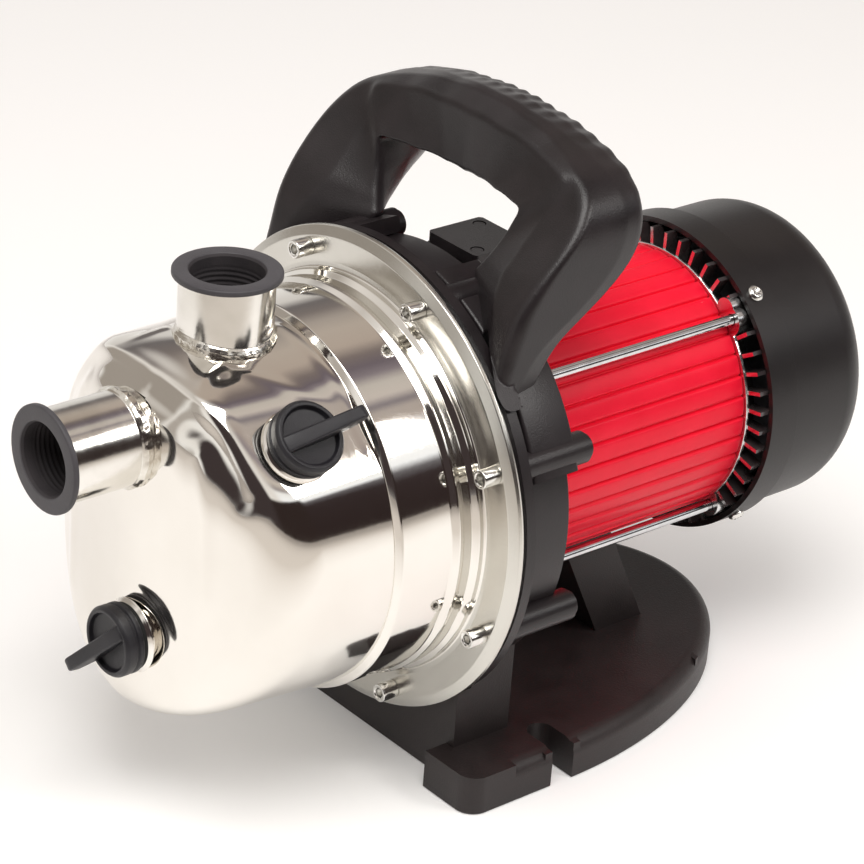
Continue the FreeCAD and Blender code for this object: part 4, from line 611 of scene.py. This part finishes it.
# ---------------------------------------------------------------- flange screws
def socket_head(bm, x_back, length, radius, across, spot):
    """Tall cap screw head facing forward with a hexagon socket, and its shank behind."""
    steps = 48
    front = x_back - length
    outer = rounded([(x_back + 40.0, 0.01), (x_back + 40.0, 2.4), (x_back, 2.5, 0), (x_back, radius, 0.25),
                     (front, radius, 0.55), (front, across + 0.55, 0.3), (front + 0.5, across + 0.1)], 4)
    grid, _, _ = lathe_grid(outer, (0, *spot), (1, 0, 0), steps)
    spin = np.linspace(0, 2 * math.pi, steps, endpoint=False)
    hexagon = across * math.cos(math.pi / 6) / np.cos((spin % (math.pi / 3)) - math.pi / 6)
    _, y, z = axes_for((1, 0, 0))
    rings = []
    for depth, scale in ((0.5, 1.0), (4.2, 1.0), (5.2, 0.02)):
        reach = hexagon[:, None] * scale
        base = np.array([front + depth, spot[0], spot[1]])
        rings.append(base + (y * np.cos(spin)[:, None] + z * np.sin(spin)[:, None]) * reach)
    inner = np.stack(rings, 1)
    grid = np.concatenate([grid, inner], 1)
    join_into(bm, clean(from_grids([(grid, True, False)])))


SCREW_RING_R = 98.5
screws = bmesh.new()
for k in range(8):
    a = math.radians(22.5 + 45 * k)
    spot = (SCREW_RING_R * math.cos(a), SCREW_RING_R * math.sin(a))
    socket_head(screws, -3.0, 8.2, 4.1, 2.5, spot)
finish_mesh("flange_cap_screws", screws, "screw", ["flange_screws"], 32)


# ---------------------------------------------------------------- motor shell
def housing_grid():
    """Barrel with broad flats between narrow grooves and a small bevel at both ends."""
    lobes = 40
    part = np.array([-0.5, -0.465, -0.43, -0.39, -0.33, -0.2, 0.0, 0.2, 0.33, 0.39, 0.43, 0.465])
    spin = ((np.arange(lobes)[:, None] + part[None, :]) / lobes * 2 * math.pi).ravel()
    shape = 62.75 - 1.7 * np.exp(-((np.abs(part) - 0.5) / 0.06) ** 2)
    shape = shape - 0.55 * np.clip(part + 0.45, 0, 0.9) - 0.9 * part ** 2
    crown = np.tile(shape, lobes)
    x0, x1 = 44.05, 173.3
    stations = [(x0, 56.2, 0), (x0, None, -0.6), (x0 + 0.5, None, -0.15), (x0 + 1.2, None, 0.0)]
    stations += [(x0 + 1.2 + (x1 - x0 - 2.4) * k / 24, None, 0.0) for k in range(1, 24)]
    stations += [(x1 - 1.2, None, 0.0), (x1 - 0.5, None, -0.15), (x1, None, -0.6), (x1, 56.2, 0)]
    grid = np.zeros((len(spin), len(stations), 3))
    for j, (x, fixed, inset) in enumerate(stations):
        r = np.full(len(spin), fixed) if fixed else crown + inset
        grid[:, j, 0] = x
        grid[:, j, 1] = r * np.cos(spin)
        grid[:, j, 2] = r * np.sin(spin)
    return grid


finish_mesh("motor_barrel", clean(from_grids([(housing_grid(), True, True)])), "red",
            ["motor_housing"], 50)


# ---------------------------------------------------------------- carrying handle
# rows: angle, then (reach, x) of the hole edge, front ridge, front corner, outer face and
# rear corner, then the reach of the rear inner edge
STATIONS = np.array([
    (-30, 48, 17, 83, 1.5, 91, 3, 91, 18, 87, 24, 64),
    (-24, 44, 20, 80, 3, 88.5, 4, 88.5, 20, 85, 26, 62),
    (-12, 37, 26, 71, 8.5, 83.5, 7, 83.5, 30, 80, 36, 57),
    (0, 33, 29.5, 62, 14.4, 82.5, 12, 82.5, 56, 79, 61.5, 55),
    (10, 37.5, 32, 59, 22.5, 84.5, 22, 84.5, 70, 81, 76, 56),
    (20, 43.5, 35, 62.7, 32.5, 88.7, 38, 88.7, 74, 84, 80, 55),
    (28, 50, 37, 68, 41, 88, 47.5, 88, 74, 83.5, 80.5, 56),
    (33, 55.5, 38.5, 73, 45.5, 84.8, 50.5, 85, 74, 80, 81.5, 56),
    (37, 49.8, 40, 77.5, 48, 81, 53, 81.4, 74, 76.5, 82, 52),
    (50, 39, 43, 67.5, 50, 71.5, 58, 72, 72, 66, 83, 41),
    (70, 31, 46.5, 57.5, 50, 63, 58, 63.8, 70, 57, 83, 33),
    (90, 28, 48, 54.5, 50, 60.8, 58, 61.8, 69, 55, 83, 30)], float)


def smooth_column(angle, k, soft):
    """Value of one column at an angle, eased over a window of soft degrees."""
    turns = np.concatenate([STATIONS[:, 0], 180 - STATIONS[-2::-1, 0]])
    column = np.concatenate([STATIONS[:, k], STATIONS[-2::-1, k]])
    steps = np.linspace(-1, 1, 11)
    weights = 1 - np.abs(steps) * 0.85
    return float(np.interp(angle + steps * soft, turns, column) @ weights / weights.sum())


def handle_ring(angle):
    """Closed section of the handle in one radial plane, as (x, reach) points."""
    hole, hole_x = smooth_column(angle, 1, 3.0), smooth_column(angle, 2, 3.0)
    ridge, ridge_x = smooth_column(angle, 3, 3.0), smooth_column(angle, 4, 4.5)
    corner, corner_x = smooth_column(angle, 5, 6.0), smooth_column(angle, 6, 7.0)
    outer, outer_x = smooth_column(angle, 7, 6.5), smooth_column(angle, 8, 7.0)
    rear, rear_x = smooth_column(angle, 9, 6.5), smooth_column(angle, 10, 7.0)
    inner = smooth_column(angle, 11, 6.0)
    grip = min(max((angle - 24) / 12.0, 0), 1) * min(max((156 - angle) / 12.0, 0), 1)
    rib = 1.0 * grip * (0.5 + 0.5 * math.cos(math.radians(angle - 90) * 46))
    loop = [
        (hole_x, hole, 2.2), (ridge_x, ridge, 5.0), (corner_x, corner, 5.5),
        (outer_x - 7, outer, 5.0), (outer_x + 1.5, outer - 1.2 + 0.6 * rib, 2.5),
        (rear_x - 1.5, rear + 2.0 + rib, 3.0), (rear_x, rear - 3.5, 4.0), (rear_x, inner + 2, 6.0),
        (rear_x - 4, inner, 5.0), ((hole_x + rear_x) / 2, (hole + inner) / 2 - 1.0, 8.0),
        (hole_x + 4.0, hole - 0.2, 3.0)]
    return rounded(loop[-1:] + loop + loop[:1], 7)[1:-1]


HANDLE_Z = 100.0
HANDLE_SAMPLES = 132


def handle_grid():
    """Sections of the handle in turn, kept clear of the bracket's ring and drum."""
    angles = np.linspace(-29, 209, 358)
    grid = np.zeros((len(angles), HANDLE_SAMPLES, 3))
    for i, angle in enumerate(angles):
        curve = handle_ring(angle)
        closed = np.vstack([curve, curve[:1]])
        length = np.concatenate([[0], np.cumsum(np.linalg.norm(np.diff(closed, axis=0), axis=1))])
        t = np.linspace(0, length[-1], HANDLE_SAMPLES, endpoint=False)
        r = np.interp(t, length, closed[:, 1])
        tilt = math.radians(angle)
        grid[i, :, 0] = np.interp(t, length, closed[:, 0])
        grid[i, :, 1] = -r * math.cos(tilt)
        grid[i, :, 2] = HANDLE_Z + r * math.sin(tilt)
    ring = np.hypot(grid[..., 1], grid[..., 2])
    floor_r = np.where(grid[..., 0] < 12.7, 108.2, 96.5)
    low = (grid[..., 0] < 37.0) & (ring < floor_r)
    push = np.where(low, floor_r / np.maximum(ring, 1e-3), 1.0)
    grid[..., 1] *= push
    grid[..., 2] *= push
    return grid


handle_bm = from_grids([(handle_grid(), False, True)])
handle_bm.verts.ensure_lookup_table()
handle_bm.faces.new(handle_bm.verts[:HANDLE_SAMPLES])
handle_bm.faces.new(handle_bm.verts[-HANDLE_SAMPLES:][::-1])
clean(handle_bm)


def saddle_grid(first, last):
    """Band under a leg of the handle, between two angles about the shaft."""
    band = rounded([(14.0, 96.6), (12.9, 97.6, 0.8), (12.9, 103.9, 1.6), (37.4, 103.9, 1.6),
                    (37.4, 97.6, 0.8), (36.4, 96.6), (14.0, 96.6)], 4)
    steps = 60
    spin = np.radians(np.linspace(first, last, steps))
    c, s = np.cos(spin)[:, None], np.sin(spin)[:, None]
    return np.stack([np.broadcast_to(band[None, :, 0], (steps, len(band))),
                     band[None, :, 1] * c, band[None, :, 1] * s], -1)


for first, last in ((105, 162), (18, 75)):
    part = clean(from_grids([(saddle_grid(first, last), False, False)]))
    bmesh.ops.holes_fill(part, edges=part.edges, sides=80)
    bmesh.ops.recalc_face_normals(part, faces=part.faces)
    join_into(handle_bm, part)
finish_mesh("handle_grip", handle_bm, "black", ["carrying_handle"], 60)

# ---------------------------------------------------------------- pieces with broken corners
REFINED = [
    # name, node, look, width and steps of the bevel, least angle of an edge that is broken
    ("bracket_ring", "motor_bracket", "black", 0.7, 2, 28),
    ("foot_moulding", "pump_foot", "foot", 0.8, 3, 48),
    ("terminal_case", "terminal_box", "black", 0.5, 2, 28),
    ("terminal_cap", "terminal_lid", "black", 1.1, 3, 28),
    ("rear_casting", "rear_shield", "casting_bright", 0.3, 2, 28),
    ("fan_hood", "fan_cover", "cover", 0.5, 2, 28),
    ("front_casting", "front_shield", "casting", 0.3, 2, 28),
    ("gland_nut", "cable_gland", "black", 0.4, 2, 28),
]
REFINED_PIECES = {row[0]: refine(*row) for row in REFINED}


def is_fin_flank(c, n):
    """True for the sides of the rear shield's fins, away from the four rod lugs, which take the painted
    shade.
    """
    y, z = c.y / MM, c.z / MM - SHAFT_Z
    from_lug = abs(math.degrees(math.atan2(z, y)) % 90 - 45)
    return math.hypot(y, z) > 61.2 and from_lug > 7.0 and n.x > -0.6


# rear shield: machined rim, fin edges and rod lugs bright; fin flanks dark, a dark finish with painted
# shade between the fins, chosen by which way each face turns
paint(REFINED_PIECES["rear_casting"], "fin_flank_shade", is_fin_flank)
rim = rounded([(173.4, 60.4), (173.4, 63.5, 0.3), (174.9, 63.7, 0.4), (175.6, 62.6, 0.4), (176.6, 60.4),
               (173.4, 60.4)], 4)
finish_mesh("rear_rim", clean(from_grids([lathe_grid(rim, turns=160)])), "casting_bright",
            ["rear_shield"], 40)


def pan_head(bm, x, angle):
    """Screw of the fan cover: pan head with a cross recess, and its shank."""
    cover_r = 74.4
    spin = math.radians(angle)
    radial = (0, math.cos(spin), math.sin(spin))
    base = np.array([x, 0, 0]) + np.array(radial) * cover_r
    head = rounded([(-12.0, 0.01), (-12.0, 1.6), (-0.4, 1.6), (-0.4, 3.9, 0.2), (1.0, 3.9, 0.7),
                    (2.25, 2.6, 1.6), (2.5, 0.01)], 5)
    grid, _, _ = lathe_grid(head, base, radial, 64)
    along, y, z = axes_for(radial)
    q = grid - base
    a, b, h = q @ y, q @ z, q @ along
    arm = 2.1
    cross = (np.clip((0.75 - np.abs(a)) / 0.35, 0, 1) * (np.abs(b) < arm)
             + np.clip((0.75 - np.abs(b)) / 0.35, 0, 1) * (np.abs(a) < arm))
    depth = np.clip(cross, 0, 1) * 1.3 * (h > 1.2) * np.clip((arm + 0.3 - np.hypot(a, b)) / 0.8, 0, 1)
    grid = grid - depth[..., None] * along
    join_into(bm, clean(from_grids([(grid, True, False)])))


# one head over each CAD screw of the cover, which has one in every quarter turn
heads = bmesh.new()
points = [v.co for v in NODES["fan_cover_screws"].data.vertices]
for low in (90, 180, 270, 0):
    turns = [math.degrees(math.atan2(v.z - SHAFT_Z * MM, v.y)) % 360 for v in points]
    picked = [(v.x, t) for v, t in zip(points, turns) if low <= t < low + 90]
    pan_head(heads, sum(v for v, _ in picked) / len(picked) / MM - RIM_X,
             (min(t for _, t in picked) + max(t for _, t in picked)) / 2)
finish_mesh("cover_screw_heads", heads, "screw", ["fan_cover_screws"], 40)

# CAD nodes that no piece replaces are shown as they are
REPLACED = {n for o in bpy.context.scene.objects for n in (o.get("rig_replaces") or [])}
for node, obj in NODES.items():
    if node in REPLACED:
        continue
    look = {"tie_rods": "rod", "lid_screws": "black"}.get(node, SLOT_LOOK[NODE_SLOT[node]])
    obj.data.materials.clear()
    obj.data.materials.append(MAT[look])


# ---------------------------------------------------------------- floor, light and camera
def floor_material():
    """Pale matt floor that darkens toward the camera as painted shade, and glows faintly in its own colour
    as painted light.
    """
    m = bpy.data.materials.new("floor")
    m.use_nodes = True
    nodes, link = m.node_tree.nodes, m.node_tree.links.new
    shader = nodes["Principled BSDF"]
    shader.inputs["Roughness"].default_value = 0.9
    shader.inputs["Specular IOR Level"].default_value = 0.1
    # painted glow: the floor glows in its own colour, lifting it toward white
    shader.inputs["Emission Strength"].default_value = 0.17
    coords = nodes.new("ShaderNodeTexCoord")
    # painted shade: the floor's colour falls from pale grey to brown-grey toward the camera
    toward_camera = nodes.new("ShaderNodeVectorMath")
    toward_camera.operation = "DOT_PRODUCT"
    toward_camera.inputs[1].default_value = (-0.66, -0.75, 0.0)
    link(coords.outputs["Object"], toward_camera.inputs[0])
    painted_shade_ramp = nodes.new("ShaderNodeValToRGB")
    painted_shade_ramp.color_ramp.elements[0].position = 0.28
    painted_shade_ramp.color_ramp.elements[1].position = 0.60
    painted_shade_ramp.color_ramp.elements[0].color = (0.89, 0.885, 0.88, 1)
    painted_shade_ramp.color_ramp.elements[1].color = (0.58, 0.55, 0.52, 1)
    link(toward_camera.outputs["Value"], painted_shade_ramp.inputs["Fac"])
    link(painted_shade_ramp.outputs["Color"], shader.inputs["Base Color"])
    link(painted_shade_ramp.outputs["Color"], shader.inputs["Emission Color"])
    return m


FLOOR_HALF, FLOOR_Z = 7.0, -0.0005
floor_bm = bmesh.new()
floor_bm.faces.new([floor_bm.verts.new((a * FLOOR_HALF, b * FLOOR_HALF, FLOOR_Z))
                    for a, b in ((-1, -1), (1, -1), (1, 1), (-1, 1))])
floor_mesh = bpy.data.meshes.new("floor")
floor_bm.to_mesh(floor_mesh)
floor_bm.free()
floor_mesh.materials.append(floor_material())
floor = bpy.data.objects.new("floor", floor_mesh)
bpy.context.scene.collection.objects.link(floor)

# the room that the steel reflects
world = bpy.data.worlds.new("studio")
bpy.context.scene.world = world
world.use_nodes = True
world_tree = world.node_tree
new_node, connect = world_tree.nodes.new, world_tree.links.new


def number_node(operation, *values):
    """Output of a math node over numbers and other nodes' outputs."""
    node = new_node("ShaderNodeMath")
    node.operation = operation
    for k, value in enumerate(values):
        if isinstance(value, (int, float)):
            node.inputs[k].default_value = value
        else:
            connect(value, node.inputs[k])
    return node.outputs[0]


def soft_step(value, low, high):
    """0 below low, 1 above high, and eased between."""
    node = new_node("ShaderNodeMapRange")
    node.interpolation_type = "SMOOTHSTEP"
    connect(value, node.inputs["Value"])
    node.inputs["From Min"].default_value = low
    node.inputs["From Max"].default_value = high
    return node.outputs["Result"]


def window(value, low, high, edge):
    """1 between low and high, with soft edges."""
    return number_node("MULTIPLY", soft_step(value, low - edge, low + edge),
                       soft_step(value, high + edge, high - edge))


def over(colour_socket, colour, factor):
    """One plain colour laid over another by a factor."""
    node = new_node("ShaderNodeMix")
    node.data_type = "RGBA"
    connect(factor, node.inputs[0])
    connect(colour_socket, node.inputs[6])
    node.inputs[7].default_value = (*colour, 1)
    return node.outputs[2]


world_coords = new_node("ShaderNodeTexCoord")
world_axes = new_node("ShaderNodeSeparateXYZ")
connect(world_coords.outputs["Generated"], world_axes.inputs["Vector"])
world_x, world_y, world_z = (world_axes.outputs[k] for k in "XYZ")


def in_degrees(value):
    """Radians to degrees."""
    return number_node("MULTIPLY", value, 180 / math.pi)


azimuth_out = in_degrees(number_node("ARCTAN2", world_y, world_x))
height_out = in_degrees(number_node("ARCSINE", world_z))
roll_out = in_degrees(number_node("ARCTAN2", world_z, number_node("MULTIPLY", world_y, -1.0)))


def bands(value, low, high, stops):
    """Colour along a value, with a stop wherever the room changes."""
    node = new_node("ShaderNodeValToRGB")
    ramp = node.color_ramp
    while len(ramp.elements) < len(stops):
        ramp.elements.new(0.5)
    for element, (at, colour) in zip(ramp.elements, stops):
        element.position = (at - low) / (high - low)
        element.color = (*colour, 1)
    span = high - low
    connect(number_node("MULTIPLY_ADD", value, 1 / span, -low / span), node.inputs["Fac"])
    return node.outputs["Color"]


# SKY is the room by height, SIDE by the angle about the shaft that a cylinder reflects
SKY = [(-90, (1.0, 0.98, 0.95)), (0, (1.0, 0.98, 0.95)), (22, (0.97, 0.94, 0.90)),
       (40, (0.90, 0.86, 0.82)), (62, (0.66, 0.62, 0.58)), (78, (1.0, 0.97, 0.94)),
       (90, (1.0, 0.99, 0.98))]
SIDE = [(-30, (0.90, 0.87, 0.83)), (-14, (0.86, 0.82, 0.78)), (-5, (0.20, 0.16, 0.14)),
        (0, (0.030, 0.020, 0.019)), (20, (0.040, 0.028, 0.028)), (25, (0.16, 0.15, 0.16)),
        (29, (1.15, 1.17, 1.20)), (37, (1.05, 1.05, 1.04)), (40, (0.34, 0.30, 0.30)),
        (45, (0.70, 0.63, 0.56)), (49, (0.30, 0.26, 0.28)), (53, (0.46, 0.39, 0.35)),
        (59, (0.50, 0.44, 0.40)), (63, (0.24, 0.21, 0.23)), (68, (0.66, 0.59, 0.54)),
        (76, (0.60, 0.55, 0.50)), (82, (0.26, 0.22, 0.24)), (88, (0.17, 0.14, 0.16)),
        (96, (0.22, 0.18, 0.17)), (104, (0.50, 0.42, 0.36)), (118, (0.52, 0.45, 0.39)),
        (128, (0.42, 0.37, 0.33)), (137, (0.22, 0.19, 0.18)), (147, (0.17, 0.155, 0.155)),
        (155, (0.72, 0.69, 0.66)), (180, (0.92, 0.90, 0.87))]
sky = bands(height_out, -90, 90, SKY)
side = bands(roll_out, -30, 180, SIDE)
facing = number_node("MULTIPLY", soft_step(world_x, -0.10, 0.12),
                     soft_step(roll_out, -30, -16))
both = new_node("ShaderNodeMix")
both.data_type = "RGBA"
connect(facing, both.inputs[0])
connect(sky, both.inputs[6])
connect(side, both.inputs[7])
room = both.outputs[2]
ROOM = [
    # azimuth from, to, edge; elevation from, to, edge; colour
    (-118, -60, 4, -12, 27, 2.5, (0.035, 0.024, 0.022)),
    (-170, -108, 6, -4, 55, 7, (0.055, 0.042, 0.042)),
    (98, 150, 8, -6, 36, 8, (0.40, 0.36, 0.32)),
    (158, 174, 5, -12, 40, 7, (0.50, 0.46, 0.42)),
]
for az0, az1, az_edge, el0, el1, el_edge, colour in ROOM:
    patch = number_node("MULTIPLY", window(azimuth_out, az0, az1, az_edge),
                        window(height_out, el0, el1, el_edge))
    room = over(room, colour, patch)
connect(room, world_tree.nodes["Background"].inputs["Color"])
world_tree.nodes["Background"].inputs["Strength"].default_value = 1.0


def area(name, spot, size, watts, colour):
    """Square soft light aimed at the middle of the pump."""
    light = bpy.data.lights.new(name, "AREA")
    light.shape = "SQUARE"
    light.size = size
    light.energy = watts
    light.color = colour
    obj = bpy.data.objects.new(name, light)
    obj.location = spot
    obj.rotation_euler = (Vector((0, 0, 0.12)) - Vector(spot)).to_track_quat("-Z", "Y").to_euler()
    bpy.context.scene.collection.objects.link(obj)


area("key", (-0.6, -0.5, 1.9), 1.2, 27, (1.0, 0.985, 0.96))
area("side", (0.9, -1.5, 1.5), 0.6, 11, (1.0, 0.98, 0.95))

# the camera's angles and place are fitted to the round rims that the photo shows
SENSOR, FOCAL_PER_WIDTH = 36.0, 3317.27 / 864.0
azimuth, elevation, roll = math.radians(-41.58), math.radians(26.70), math.radians(4.334)
back = Vector((math.sin(azimuth) * math.cos(elevation), -math.cos(azimuth) * math.cos(elevation),
               math.sin(elevation)))
right = Vector((0, 0, 1)).cross(back).normalized()
upward = back.cross(right)
right_r = math.cos(roll) * right + math.sin(roll) * upward
up_r = -math.sin(roll) * right + math.cos(roll) * upward
camera_data = bpy.data.cameras.new("camera")
camera_data.sensor_width = SENSOR
camera_data.lens = SENSOR * FOCAL_PER_WIDTH
camera_data.clip_start = 0.05
camera_data.clip_end = 50.0
camera = bpy.data.objects.new("camera", camera_data)
camera.matrix_world = Matrix.Translation((-0.86740, -0.97251, 0.78475)) @ Matrix(
    ((right_r.x, up_r.x, back.x), (right_r.y, up_r.y, back.y), (right_r.z, up_r.z, back.z))).to_4x4()
bpy.context.scene.collection.objects.link(camera)
bpy.context.scene.camera = camera
bpy.context.scene.view_settings.view_transform = "Standard"
bpy.context.scene.view_settings.look = "None"
